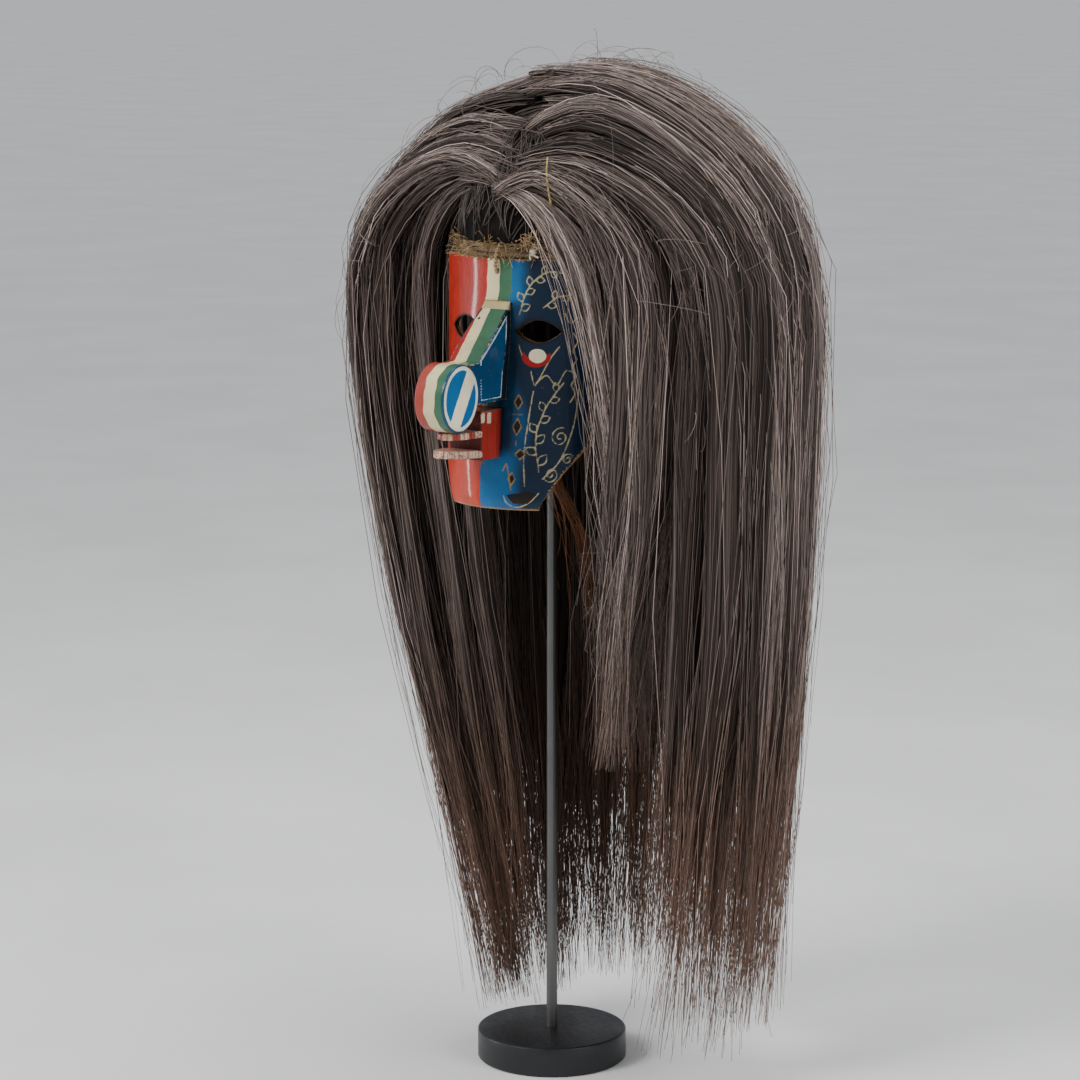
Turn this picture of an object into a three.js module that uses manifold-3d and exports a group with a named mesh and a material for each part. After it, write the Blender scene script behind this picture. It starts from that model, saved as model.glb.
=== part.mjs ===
// Dance mask with a long horsehair wig, held up by a rod on a round foot.
// Millimetres, +Z up. The origin is on the rod's axis, under the foot. The face looks along -Y.
import * as THREE from 'three';
import { mergeVertices } from 'three/addons/utils/BufferGeometryUtils.js';
import Module from 'manifold-3d';

// Fits
const GAP = 0.3;                    // left between pieces that touch

// Stand
const BASE_DIAMETER = 127;
const BASE_HEIGHT = 25.4;
const BASE_CHAMFER = 1.5;
const ROD_DIAMETER = 9.5;
const ROD_SEAT_DEPTH = 15;
const BASE_SEGMENTS = 36;
const ROD_SEGMENTS = 16;

// Face shell
const FACE_TOP_Z = 691;
const FACE_HEIGHT = 203.5;
const FACE_HALF_WIDTH = 71.4;
const FACE_WALL = 4.5;
const FACE_TOP_Y = -75;             // the forehead's front, on the mid-plane
const FACE_LEAN = 0.1116;           // how far the chin comes forward for each mm down
const RIM_Y = -47.5;                // the side rims lie in one upright plane
const JAW_HEIGHT = 53.5;            // above the chin's edge, where the sides begin to draw in
const CHIN_HALF_WIDTH = 42;
const JAW_POWER = 1.15;
const CHIN_ROLL_HEIGHT = 13;        // the bottom edge curls back
const CHIN_ROLL_DEPTH = 5;
const FACE_COLUMNS = 20;
const FACE_ROWS = 13;
const FACE_ROW_POWER = 1.45;        // packs the rows closer near the chin

// Eye holes and lacing hole
const EYE_HEIGHT_ABOVE_CHIN = 145.5;
const EYE_INNER_X = 18;
const EYE_LENGTH = 35;
const EYE_RISE = 9;
const EYE_DROP = 9;
const LACING_HOLE_DIAMETER = 4.6;
const LACING_HOLE_X = -3;
const LACING_HOLE_BELOW_TOP = 11;
const LACING_DIAMETER = 3;
const LACING_CLEARANCE = 0.6;       // outside the forehead
const LACING_END_INSIDE = 3;        // behind the shell

// Nose
const NOSE_TOP_BELOW_FACE_TOP = 34.2;
const NOSE_LENGTH = 79;             // from its top edge to its flat underside
const NOSE_HALF_WIDTH = 12.6;
const NOSE_FLARE = 2.4;             // extra half width, half way down
const NOSE_BEVEL_HEIGHT = 8;
const NOSE_BEVEL_DEPTH = 6;
const NOSE_RIDGE_DEPTH = 43;        // proud of the face where the ridge meets the drum
const NOSE_RIDGE_DROP = 45;         // how far that is below the nose's top
const NOSE_RIDGE_SWELL = 1.5;       // the ridge is a little round
const DRUM_HALF_WIDTH = 14.2;
const DRUM_DEPTH = 49;
const DRUM_HEIGHT = 55;
const DRUM_CENTRE_PROUD = 64.5;     // in front of the face
const DRUM_CENTRE_BELOW_TOP = 71.6; // below the nose's top edge
const DRUM_TILT = -0.2;             // its top leans back
const DRUM_SEGMENTS = 32;

// Mouth
const MOUTH_UNDER_NOSE = 6.5;
const MOUTH_HEIGHT = 40;
const MOUTH_HALF_WIDTH = 16;
const MOUTH_CENTRE_X = -4;
const MOUTH_PROUD = 32;             // its flat front, in front of the face at its top
const UPPER_LIP_REACH = 31;
const LOWER_LIP_REACH = 38;
const UPPER_LIP_THICKNESS = 5.5;
const LOWER_LIP_THICKNESS = 6;
const UPPER_LIP_DROP = 15.6;        // top of the upper lip, below the block's top
const LOWER_LIP_RISE = 2.5;         // underside of the lower lip, above the block's underside
const LOWER_LIP_TILT = 0.07;        // its front edge is the higher
const LIP_OVERLAP = 2;              // into the block

// Cap
const CAP_HALF_WIDTH = 76;
const CAP_HALF_DEPTH = 90;
const CAP_HEIGHT = 84;
const CAP_WALL = 4;
const BAND_HEIGHT = 12;             // bare band below the hair
const CAP_STEPS = 6;
const CAP_SEGMENTS = 24;

// Hair
const HAIR_HALF_WIDTH = 205;
const HAIR_HALF_DEPTH = 168;
const HAIR_CENTRE_X = 15;           // the fall hangs a little to one side and behind the rod
const HAIR_CENTRE_Y = 20;
const HAIR_SHOULDER_Z = 650;        // where the hair turns from the dome to the fall
const HAIR_DOME_HEIGHT = 198;
const HAIR_LOWEST_Z = 36;
const CROWN_SWELL = 5;              // hair over the cap, at the band
const CROWN_HEIGHT = 94;
const PARTINGS_BEHIND_CAP = 8;      // where the back partings meet, behind the cap's centre
const FACE_OPENING = 60;            // degrees each side of the front left free
const PART_ANGLE = 14;              // the front locks' roots, each side of the front
const BACK_PARTING = 143;           // degrees from the front, where a side hank meets the back one
const OUTER_LOCKS = 14;
const INNER_LOCKS = 8;
const OUTER_LOCK_HALF_WIDTHS = [18, 37, 11];        // at the root, in the body and at the tip
const OUTER_LOCK_HALF_THICKNESSES = [12, 27, 8];
const BACK_LOCK_HALF_THICKNESSES = [12, 18, 7];
const INNER_LOCK_HALF_WIDTHS = [16, 30, 8];
const INNER_LOCK_HALF_THICKNESSES = [12, 17, 6];
const INNER_RING = 0.62;            // of the outer ring
const INNER_TIP_Z = 190;
const FRONT_LOCK_HALF_WIDTHS = [7, 23, 4];
const FRONT_LOCK_HALF_THICKNESSES = [6, 12, 3];
const CHIN_LOCK_HALF_WIDTHS = [4, 7, 2];
const CHIN_LOCK_HALF_THICKNESSES = [4, 3, 2];
const VIEW_ANGLE = 34;              // the two loose locks lie flat towards this side
const TIP_STAGGER = 12;             // neighbouring tips end at different heights
const BACK_TIP_RISE = 80;           // the back locks end higher
const SHOULDER_SHARE = 0.35;        // of a lock's length, where it swells and where it tapers
const LOCK_SIDES = 7;
const LOCK_STEPS = 10;
const INNER_LOCK_SIDES = 6;
const INNER_LOCK_STEPS = 8;

// Worked out from the sizes above
const FACE_BOTTOM_Z = FACE_TOP_Z - FACE_HEIGHT;
const EYE_Z = FACE_BOTTOM_Z + EYE_HEIGHT_ABOVE_CHIN;
const LACING_HOLE_Z = FACE_TOP_Z - LACING_HOLE_BELOW_TOP;
const NOSE_TOP_Z = FACE_TOP_Z - NOSE_TOP_BELOW_FACE_TOP;
const NOSE_BOTTOM_Z = NOSE_TOP_Z - NOSE_LENGTH;
const MOUTH_TOP_Z = NOSE_BOTTOM_Z - MOUTH_UNDER_NOSE;
const MOUTH_BOTTOM_Z = MOUTH_TOP_Z - MOUTH_HEIGHT;
const CAP_BOTTOM_Z = FACE_TOP_Z + GAP;
const CAP_CENTRE_Y = FACE_TOP_Y - 1 + CAP_HALF_DEPTH;
const CROWN_BOTTOM_Z = CAP_BOTTOM_Z + BAND_HEIGHT;
const CROWN_TOP_Z = CROWN_BOTTOM_Z + CROWN_HEIGHT;
const PARTINGS_MEET_Y = CAP_CENTRE_Y + PARTINGS_BEHIND_CAP;
const HAIR_TOP_Z = HAIR_SHOULDER_Z + HAIR_DOME_HEIGHT;

const wasm = await Module();
wasm.setup();

// Materials
const paint = (color, roughness, metalness = 0) => (
  new THREE.MeshStandardMaterial({ color, roughness, metalness })
);
const steel = paint(0x2c2d2f, 0.4, 0.9);
const blueEnamel = paint(0x14568c, 0.3);
const creamEnamel = paint(0xd8cfa8, 0.4);
const redEnamel = paint(0xa82e20, 0.35);
const fibre = paint(0x8a6f4a, 0.9);
const hair = paint(0x4a403c, 0.6);
const auburnHair = paint(0x6b3a1e, 0.6);

// Solids from closed meshes, and back
function toSolid(geometry) {
  const bare = geometry.clone();
  bare.deleteAttribute('normal');
  bare.deleteAttribute('uv');
  const merged = mergeVertices(bare, 1e-4);
  const mesh = new wasm.Mesh({
    numProp: 3,
    vertProperties: new Float32Array(merged.attributes.position.array),
    triVerts: new Uint32Array(merged.index.array),
  });
  mesh.merge();
  return new wasm.Manifold(mesh);
}

function toGeometry(solid) {
  const mesh = solid.getMesh();
  const geometry = new THREE.BufferGeometry();
  geometry.setAttribute('position', new THREE.BufferAttribute(mesh.vertProperties, 3));
  geometry.setIndex(new THREE.BufferAttribute(mesh.triVerts, 1));
  geometry.computeVertexNormals();
  return geometry;
}

const joined = (solids) => solids.reduce((all, one) => all.add(one));

function gridGeometry(points, faces) {
  const geometry = new THREE.BufferGeometry();
  geometry.setAttribute('position', new THREE.Float32BufferAttribute(points.flat(), 3));
  geometry.setIndex(faces.flat());
  return geometry;
}

// A turned piece about Z, from a profile of [radius, z] points
function turned(profile, segments) {
  const lathe = new THREE.LatheGeometry(profile.map(([r, z]) => new THREE.Vector2(r, z)), segments);
  return lathe.rotateX(Math.PI / 2);
}

// Stand
function standBase() {
  const radius = BASE_DIAMETER / 2;
  const boreRadius = ROD_DIAMETER / 2 + GAP;
  const seatZ = BASE_HEIGHT - ROD_SEAT_DEPTH;
  return turned([
    [0, 0],
    [radius - BASE_CHAMFER, 0],
    [radius, BASE_CHAMFER],
    [radius, BASE_HEIGHT - BASE_CHAMFER],
    [radius - BASE_CHAMFER, BASE_HEIGHT],
    [boreRadius, BASE_HEIGHT],
    [boreRadius, seatZ],
    [0, seatZ],
  ], BASE_SEGMENTS);
}

function standRod() {
  const radius = ROD_DIAMETER / 2;
  const bottom = BASE_HEIGHT - ROD_SEAT_DEPTH + GAP;
  const inside = capInnerHeight(0, 0, radius);
  const top = CAP_BOTTOM_Z + inside - GAP;
  return turned([[0, bottom], [radius, bottom], [radius, top], [0, top]], ROD_SEGMENTS);
}

// Face: a bent sheet. Each level is an arc whose ends lie on the rim plane.
const faceFrontY = (z) => FACE_TOP_Y - (FACE_TOP_Z - z) * FACE_LEAN;

function faceRadius(z) {
  const depth = RIM_Y - faceFrontY(z);
  return (FACE_HALF_WIDTH ** 2 + depth ** 2) / (2 * depth);
}

function faceHalfWidth(z) {
  const share = Math.min(1, Math.max(0, (z - FACE_BOTTOM_Z) / JAW_HEIGHT));
  return CHIN_HALF_WIDTH + (FACE_HALF_WIDTH - CHIN_HALF_WIDTH) * share ** JAW_POWER;
}

function facePoint(u, z) {
  const radius = faceRadius(z);
  const angle = u * Math.asin(faceHalfWidth(z) / radius);
  const fromEdge = Math.max(0, 1 - (z - FACE_BOTTOM_Z) / CHIN_ROLL_HEIGHT);
  const roll = CHIN_ROLL_DEPTH * (1 - Math.sqrt(1 - fromEdge ** 2 * 0.95));
  const y = faceFrontY(z) + radius * (1 - Math.cos(angle)) + roll;
  return new THREE.Vector3(radius * Math.sin(angle), y, z);
}

function faceInnerPoint(u, z) {
  const step = 0.01;
  const across = facePoint(u + step, z).sub(facePoint(u - step, z));
  const top = Math.min(z + 1, FACE_TOP_Z);
  const bottom = Math.max(z - 1, FACE_BOTTOM_Z);
  const up = facePoint(u, top).sub(facePoint(u, bottom));
  up.x = 0;
  const inward = up.cross(across).normalize();
  const inner = facePoint(u, z).addScaledVector(inward, FACE_WALL);
  inner.z = Math.min(FACE_TOP_Z, Math.max(FACE_BOTTOM_Z, inner.z));
  return inner;
}

function faceShell(columns = FACE_COLUMNS, rows = FACE_ROWS) {
  const points = [];
  const faces = [];
  const levels = [];
  for (let row = 0; row <= rows; row++) {
    levels.push(FACE_BOTTOM_Z + FACE_HEIGHT * (row / rows) ** FACE_ROW_POWER);
  }
  for (const surface of [facePoint, faceInnerPoint]) {
    for (const z of levels) {
      for (let column = 0; column <= columns; column++) {
        points.push(surface(2 * column / columns - 1, z).toArray());
      }
    }
  }
  const across = columns + 1;
  const sheet = across * (rows + 1);
  const outer = (row, column) => row * across + column;
  const inner = (row, column) => sheet + row * across + column;
  const quad = (a, b, c, d) => faces.push([a, b, c], [a, c, d]);
  for (let row = 0; row < rows; row++) {
    for (let column = 0; column < columns; column++) {
      quad(outer(row, column), outer(row, column + 1), outer(row + 1, column + 1), outer(row + 1, column));
      quad(inner(row, column), inner(row + 1, column), inner(row + 1, column + 1), inner(row, column + 1));
    }
    quad(outer(row, 0), outer(row + 1, 0), inner(row + 1, 0), inner(row, 0));
    quad(outer(row, columns), inner(row, columns), inner(row + 1, columns), outer(row + 1, columns));
  }
  for (let column = 0; column < columns; column++) {
    quad(outer(0, column), inner(0, column), inner(0, column + 1), outer(0, column + 1));
    quad(outer(rows, column), outer(rows, column + 1), inner(rows, column + 1), inner(rows, column));
  }
  return gridGeometry(points, faces);
}

// A lens shaped bar along Y, for an eye hole on one side
function eyeCutter(side) {
  const half = EYE_LENGTH / 2;
  const eye = new THREE.Shape();
  eye.moveTo(-half, 0);
  eye.quadraticCurveTo(0, -2 * EYE_DROP, half, 0);
  eye.quadraticCurveTo(0, 2 * EYE_RISE, -half, 0);
  const length = FACE_HALF_WIDTH * 2;
  const bar = new THREE.ExtrudeGeometry(eye, { depth: length, bevelEnabled: false, curveSegments: 7 });
  bar.rotateX(Math.PI / 2);
  return bar.translate(side * (EYE_INNER_X + half), 0, EYE_Z);
}

function lacingCutter() {
  const bar = new THREE.CylinderGeometry(LACING_HOLE_DIAMETER / 2, LACING_HOLE_DIAMETER / 2, 60, 12);
  return bar.translate(LACING_HOLE_X, FACE_TOP_Y, LACING_HOLE_Z);
}

function maskFace() {
  const holes = joined([eyeCutter(-1), eyeCutter(1), lacingCutter()].map(toSolid));
  return toGeometry(toSolid(faceShell()).subtract(holes));
}

// An outline of [y, z] points, extruded along X about the mid-plane
function sideBoard(outline, halfWidth) {
  const shape = new THREE.Shape(outline.map(([y, z]) => new THREE.Vector2(y, z)));
  const board = new THREE.ExtrudeGeometry(shape, { depth: 2 * halfWidth, bevelEnabled: false });
  board.rotateX(Math.PI / 2).rotateZ(Math.PI / 2);
  return board.translate(-halfWidth, 0, 0);
}

// Nose: a board that flares a little, with a drum across its tip
function nose() {
  const backY = (z) => faceFrontY(z) - GAP;
  const ridgeZ = NOSE_TOP_Z - NOSE_RIDGE_DROP;
  const drumZ = NOSE_TOP_Z - DRUM_CENTRE_BELOW_TOP;
  const drumY = faceFrontY(drumZ) - DRUM_CENTRE_PROUD;
  const bevelZ = NOSE_TOP_Z - NOSE_BEVEL_HEIGHT;
  const bevelY = backY(bevelZ) - NOSE_BEVEL_DEPTH;
  const ridgeY = backY(ridgeZ) - NOSE_RIDGE_DEPTH;
  const board = sideBoard([
    [backY(NOSE_TOP_Z), NOSE_TOP_Z],
    [backY(NOSE_BOTTOM_Z), NOSE_BOTTOM_Z],
    [drumY, NOSE_BOTTOM_Z],
    [drumY, drumZ + DRUM_HEIGHT * 0.46],
    [ridgeY, ridgeZ],
    [(bevelY + ridgeY) / 2, (bevelZ + ridgeZ) / 2 + NOSE_RIDGE_SWELL],
    [bevelY, bevelZ],
  ], NOSE_HALF_WIDTH);
  const position = board.attributes.position;
  for (let i = 0; i < position.count; i++) {
    const share = (NOSE_TOP_Z - position.getZ(i)) / NOSE_LENGTH;
    const flare = NOSE_FLARE * Math.sin(Math.PI * Math.min(1, share * 1.4) * 0.75);
    position.setX(i, position.getX(i) * (1 + flare / NOSE_HALF_WIDTH));
  }
  const drum = new THREE.CylinderGeometry(1, 1, 2 * DRUM_HALF_WIDTH, DRUM_SEGMENTS);
  drum.rotateZ(Math.PI / 2).scale(1, DRUM_DEPTH / 2, DRUM_HEIGHT / 2);
  drum.rotateX(DRUM_TILT).translate(0, drumY, drumZ);
  return toGeometry(toSolid(board).add(toSolid(drum)));
}

// A lip: half an ellipse that reaches forward from the block's front
function lip(frontY, reach, thickness, tilt = 0) {
  const shape = new THREE.Shape();
  shape.moveTo(MOUTH_HALF_WIDTH, LIP_OVERLAP);
  shape.absellipse(0, 0, MOUTH_HALF_WIDTH, reach, 0, Math.PI, true);
  shape.lineTo(-MOUTH_HALF_WIDTH, LIP_OVERLAP);
  const shelf = new THREE.ExtrudeGeometry(shape, { depth: thickness, bevelEnabled: false, curveSegments: 10 });
  return shelf.rotateX(-tilt).translate(MOUTH_CENTRE_X, frontY, 0);
}

function mouth() {
  const frontY = faceFrontY(MOUTH_TOP_Z) - MOUTH_PROUD;
  const block = sideBoard([
    [faceFrontY(MOUTH_TOP_Z) - GAP, MOUTH_TOP_Z],
    [faceFrontY(MOUTH_BOTTOM_Z) - GAP, MOUTH_BOTTOM_Z],
    [frontY, MOUTH_BOTTOM_Z],
    [frontY, MOUTH_TOP_Z],
  ], MOUTH_HALF_WIDTH);
  block.translate(MOUTH_CENTRE_X, 0, 0);
  const upper = lip(frontY, UPPER_LIP_REACH, UPPER_LIP_THICKNESS);
  upper.translate(0, 0, MOUTH_TOP_Z - UPPER_LIP_DROP - UPPER_LIP_THICKNESS);
  const lower = lip(frontY, LOWER_LIP_REACH, LOWER_LIP_THICKNESS, LOWER_LIP_TILT);
  lower.translate(0, 0, MOUTH_BOTTOM_Z + LOWER_LIP_RISE);
  return toGeometry(joined([block, upper, lower].map(toSolid)));
}

// Front lacing: down over the forehead, through its hole and in
function frontLacing() {
  const radius = LACING_DIAMETER / 2;
  const outside = faceFrontY(LACING_HOLE_Z) - radius - LACING_CLEARANCE;
  const inside = faceFrontY(LACING_HOLE_Z) + FACE_WALL + LACING_END_INSIDE;
  const path = new THREE.CatmullRomCurve3([
    new THREE.Vector3(LACING_HOLE_X, outside - 0.4, CAP_BOTTOM_Z + BAND_HEIGHT * 0.6),
    new THREE.Vector3(LACING_HOLE_X, outside - 0.8, FACE_TOP_Z - 2),
    new THREE.Vector3(LACING_HOLE_X, outside - 1.3, LACING_HOLE_Z + 3.5),
    new THREE.Vector3(LACING_HOLE_X, outside + 0.6, LACING_HOLE_Z + 0.2),
    new THREE.Vector3(LACING_HOLE_X, (outside + inside) / 2, LACING_HOLE_Z),
    new THREE.Vector3(LACING_HOLE_X, inside, LACING_HOLE_Z),
  ]);
  const section = new THREE.Shape();
  section.absarc(0, 0, radius, 0, 2 * Math.PI);
  const options = { steps: 12, bevelEnabled: false, curveSegments: 4, extrudePath: path };
  return toGeometry(toSolid(new THREE.ExtrudeGeometry(section, options)));
}

// Cap: half an ellipsoid shell, open below. Its shape is turned at unit width, then stretched.
function capInnerHeight(x, y, margin) {
  const across = (Math.abs(x) + margin) / (CAP_HALF_WIDTH - CAP_WALL);
  const along = (Math.abs(y - CAP_CENTRE_Y) + margin) / (CAP_HALF_DEPTH - CAP_WALL);
  return (CAP_HEIGHT - CAP_WALL) * Math.sqrt(1 - across ** 2 - along ** 2);
}

function domeProfile(halfWidth, height, startZ, steps) {
  const profile = [];
  for (let i = 0; i <= steps; i++) {
    const angle = Math.PI / 2 * i / steps;
    profile.push([i === steps ? 0 : halfWidth * Math.cos(angle), startZ + height * Math.sin(angle)]);
  }
  return profile;
}

function stretched(profile, segments) {
  const dome = turned(profile, segments);
  return dome.scale(1, CAP_HALF_DEPTH / CAP_HALF_WIDTH, 1).translate(0, CAP_CENTRE_Y, 0);
}

function wigCap() {
  const outer = domeProfile(CAP_HALF_WIDTH, CAP_HEIGHT, CAP_BOTTOM_Z, CAP_STEPS);
  const inner = domeProfile(CAP_HALF_WIDTH - CAP_WALL, CAP_HEIGHT - CAP_WALL, CAP_BOTTOM_Z, CAP_STEPS);
  return toGeometry(toSolid(stretched([...inner.reverse(), ...outer], CAP_SEGMENTS)));
}

// A closed dome a little larger than the cap, to keep hair off it
function capSpace() {
  const dome = domeProfile(CAP_HALF_WIDTH + GAP, CAP_HEIGHT + GAP, CAP_BOTTOM_Z, CAP_STEPS);
  return toSolid(stretched([[0, CAP_BOTTOM_Z], ...dome], CAP_SEGMENTS));
}

function crownHair(growth) {
  const dome = domeProfile(
    CAP_HALF_WIDTH + CROWN_SWELL + growth,
    CROWN_HEIGHT + growth,
    CROWN_BOTTOM_Z - growth,
    CAP_STEPS,
  );
  return toSolid(stretched([[0, CROWN_BOTTOM_Z - growth], ...dome], CAP_SEGMENTS));
}

// A tapered lock along a curve. sizes(s) gives [half width, half thickness], and outward(s) the
// direction of its thickness.
function lock(path, sizes, outward, sides = LOCK_SIDES, steps = LOCK_STEPS) {
  const points = [];
  const faces = [];
  for (let i = 0; i <= steps; i++) {
    const s = i / steps;
    const centre = path.getPoint(s);
    const along = path.getTangent(s);
    const out = outward(s).clone();
    out.addScaledVector(along, -out.dot(along)).normalize();
    const across = new THREE.Vector3().crossVectors(along, out);
    const [halfWidth, halfThickness] = sizes(s);
    for (let k = 0; k < sides; k++) {
      const angle = 2 * Math.PI * k / sides;
      const point = centre.clone();
      point.addScaledVector(across, halfWidth * Math.cos(angle));
      point.addScaledVector(out, halfThickness * Math.sin(angle));
      points.push(point.toArray());
    }
  }
  for (let i = 0; i < steps; i++) {
    for (let k = 0; k < sides; k++) {
      const a = i * sides + k;
      const b = i * sides + (k + 1) % sides;
      faces.push([a, b + sides, b], [a, a + sides, b + sides]);
    }
  }
  const root = points.push(path.getPoint(0).toArray()) - 1;
  const tip = points.push(path.getPoint(1).addScaledVector(path.getTangent(1), sizes(1)[0]).toArray()) - 1;
  const last = steps * sides;
  for (let k = 0; k < sides; k++) {
    faces.push([root, k, (k + 1) % sides], [tip, last + (k + 1) % sides, last + k]);
  }
  return toSolid(gridGeometry(points, faces));
}

const smooth = (a, b, s) => a + (b - a) * s * s * (3 - 2 * s);

// How half width and half thickness run along a lock, from their sizes at root, body and tip
function alongLock(halfWidths, halfThicknesses) {
  const at = ([root, body, tip], s) => {
    if (s < SHOULDER_SHARE) return smooth(root, body, s / SHOULDER_SHARE);
    if (s < 1 - SHOULDER_SHARE) return body;
    return smooth(tip, body, (1 - s) / SHOULDER_SHARE);
  };
  return (s) => [at(halfWidths, s), at(halfThicknesses, s)];
}

// The wig's plan is an ellipse, about the cap's centre on the crown and about the hair's own on the
// fall. angle is in degrees from the front, towards +X.
function planPoint(angle, share, z, fall = 1) {
  const turn = THREE.MathUtils.degToRad(angle);
  return new THREE.Vector3(
    HAIR_CENTRE_X * fall + share * HAIR_HALF_WIDTH * Math.sin(turn),
    smooth(CAP_CENTRE_Y, HAIR_CENTRE_Y, fall) - share * HAIR_HALF_DEPTH * Math.cos(turn),
    z,
  );
}

const outwardAt = (angle) => {
  const turn = THREE.MathUtils.degToRad(angle);
  return new THREE.Vector3(Math.sin(turn), -Math.cos(turn), 0);
};

// Hair draws in towards its ends, most on the left of the face
const LEAN_IN_ANGLE = -60;
function fallShape(angle) {
  const left = Math.cos(THREE.MathUtils.degToRad(angle - LEAN_IN_ANGLE));
  return { tipShare: 0.645 - 0.225 * left, power: 1.5 - 0.5 * left };
}

function tipHeight(angle, index) {
  const back = Math.max(0, -Math.cos(THREE.MathUtils.degToRad(angle)));
  return HAIR_LOWEST_Z + BACK_TIP_RISE * back * back + TIP_STAGGER * (index % 3);
}

// On the crown the locks spread all round. Further down they leave the face free.
function crownAngle(angle) {
  const side = angle > 180 ? -1 : 1;
  const turn = side > 0 ? angle : 360 - angle;
  const spread = (BACK_PARTING - PART_ANGLE) / (BACK_PARTING - FACE_OPENING);
  const root = turn < BACK_PARTING ? BACK_PARTING - (BACK_PARTING - turn) * spread : turn;
  return side > 0 ? root : 360 - root;
}

function outerLock(angle, index) {
  const atBack = angle > BACK_PARTING && angle < 360 - BACK_PARTING;
  const halfThicknesses = atBack ? BACK_LOCK_HALF_THICKNESSES : OUTER_LOCK_HALF_THICKNESSES;
  const [rootHalfThickness, halfThickness] = halfThicknesses;
  const inset = halfThickness / HAIR_HALF_WIDTH;
  const { tipShare, power } = fallShape(angle);
  const tipZ = tipHeight(angle, index);
  const rootAngle = crownAngle(angle);
  const points = [planPoint(rootAngle, 0.04, CROWN_TOP_Z - 6, 0)];
  for (const rise of [76, 52, 26, 0]) {
    const turn = THREE.MathUtils.degToRad(rise);
    const share = (1 - inset) * Math.cos(turn);
    const z = HAIR_SHOULDER_Z + (HAIR_DOME_HEIGHT - rootHalfThickness) * Math.sin(turn);
    const towards = smooth(angle, rootAngle, rise / 90);
    points.push(planPoint(towards, share, z, Math.cos(turn)));
  }
  for (const s of [0.25, 0.5, 0.75, 1]) {
    const share = 1 - inset * (1 - s) - (1 - tipShare) * s ** power;
    points.push(planPoint(angle, share, HAIR_SHOULDER_Z + (tipZ - HAIR_SHOULDER_Z) * s));
  }
  const path = new THREE.CatmullRomCurve3(points, false, 'centripetal');
  const sizes = alongLock(OUTER_LOCK_HALF_WIDTHS, halfThicknesses);
  return lock(path, sizes, outwardUp(angle));
}

// Outward and up near the crown, outward on the fall
function outwardUp(angle) {
  const out = outwardAt(angle);
  return (s) => new THREE.Vector3(out.x, out.y, smooth(2, 0, Math.min(1, s / SHOULDER_SHARE)));
}

function innerLock(angle, index) {
  const points = [
    planPoint(angle, 0.3, CROWN_TOP_Z - 45, 0),
    planPoint(angle, INNER_RING * 0.95, HAIR_SHOULDER_Z + 100),
    planPoint(angle, INNER_RING, HAIR_SHOULDER_Z - 20),
    planPoint(angle, INNER_RING * 0.96, HAIR_SHOULDER_Z - 170),
    planPoint(angle, INNER_RING * 0.8, INNER_TIP_Z + 120),
    planPoint(angle, INNER_RING * 0.66, INNER_TIP_Z + 20 * (index % 2)),
  ];
  const path = new THREE.CatmullRomCurve3(points, false, 'centripetal');
  const sizes = alongLock(INNER_LOCK_HALF_WIDTHS, INNER_LOCK_HALF_THICKNESSES);
  return lock(path, sizes, outwardUp(angle), INNER_LOCK_SIDES, INNER_LOCK_STEPS);
}

// All the locks of one ring, each with its angle
function ring(count, make) {
  const locks = [];
  const span = 360 - 2 * FACE_OPENING;
  for (let i = 0; i < count; i++) {
    const angle = FACE_OPENING + span * i / (count - 1);
    locks.push({ angle, solid: make(angle, i) });
  }
  return locks;
}

// Everything on the far side of an upright plane through (0, y), which faces the given angle
function beyond(angle, y) {
  const size = 4 * HAIR_TOP_Z;
  const block = new THREE.BoxGeometry(size, size, size);
  block.translate(size / 2 + GAP / 2, 0, HAIR_SHOULDER_Z);
  block.rotateZ(THREE.MathUtils.degToRad(angle - 90)).translate(0, y, 0);
  return toSolid(block);
}

// The largest body of a solid, without the specks and sealed pockets that joins leave
function wholeBody(solid) {
  const bodies = solid.decompose();
  return bodies.reduce((best, one) => (one.volume() > best.volume() ? one : best));
}

// A loose lock through points of [x, y behind the rim plane, z below the face's top]
function looseLock(points, halfWidths, halfThicknesses) {
  const places = points.map(([x, behind, below]) => (
    new THREE.Vector3(x, RIM_Y + behind, FACE_TOP_Z - below)
  ));
  const path = new THREE.CatmullRomCurve3(places, false, 'centripetal');
  const out = outwardAt(VIEW_ANGLE);
  return lock(path, alongLock(halfWidths, halfThicknesses), () => out);
}

function frontLock() {
  return looseLock([
    [5, -18.5, -53],
    [35, -29.5, -46],
    [59, -28.5, -25],
    [78, -24.5, 6],
    [89, -18, 60],
    [101, -9.5, 176],
    [104, -3.5, 242],
    [94, -0.5, 353],
  ], FRONT_LOCK_HALF_WIDTHS, FRONT_LOCK_HALF_THICKNESSES);
}

function chinLock() {
  return looseLock([
    [40, -14.5, 151],
    [34, -0.5, 186],
    [16, 67.5, 239],
    [10, 85.5, 281],
    [6, 92.5, 325],
  ], CHIN_LOCK_HALF_WIDTHS, CHIN_LOCK_HALF_THICKNESSES);
}

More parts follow.
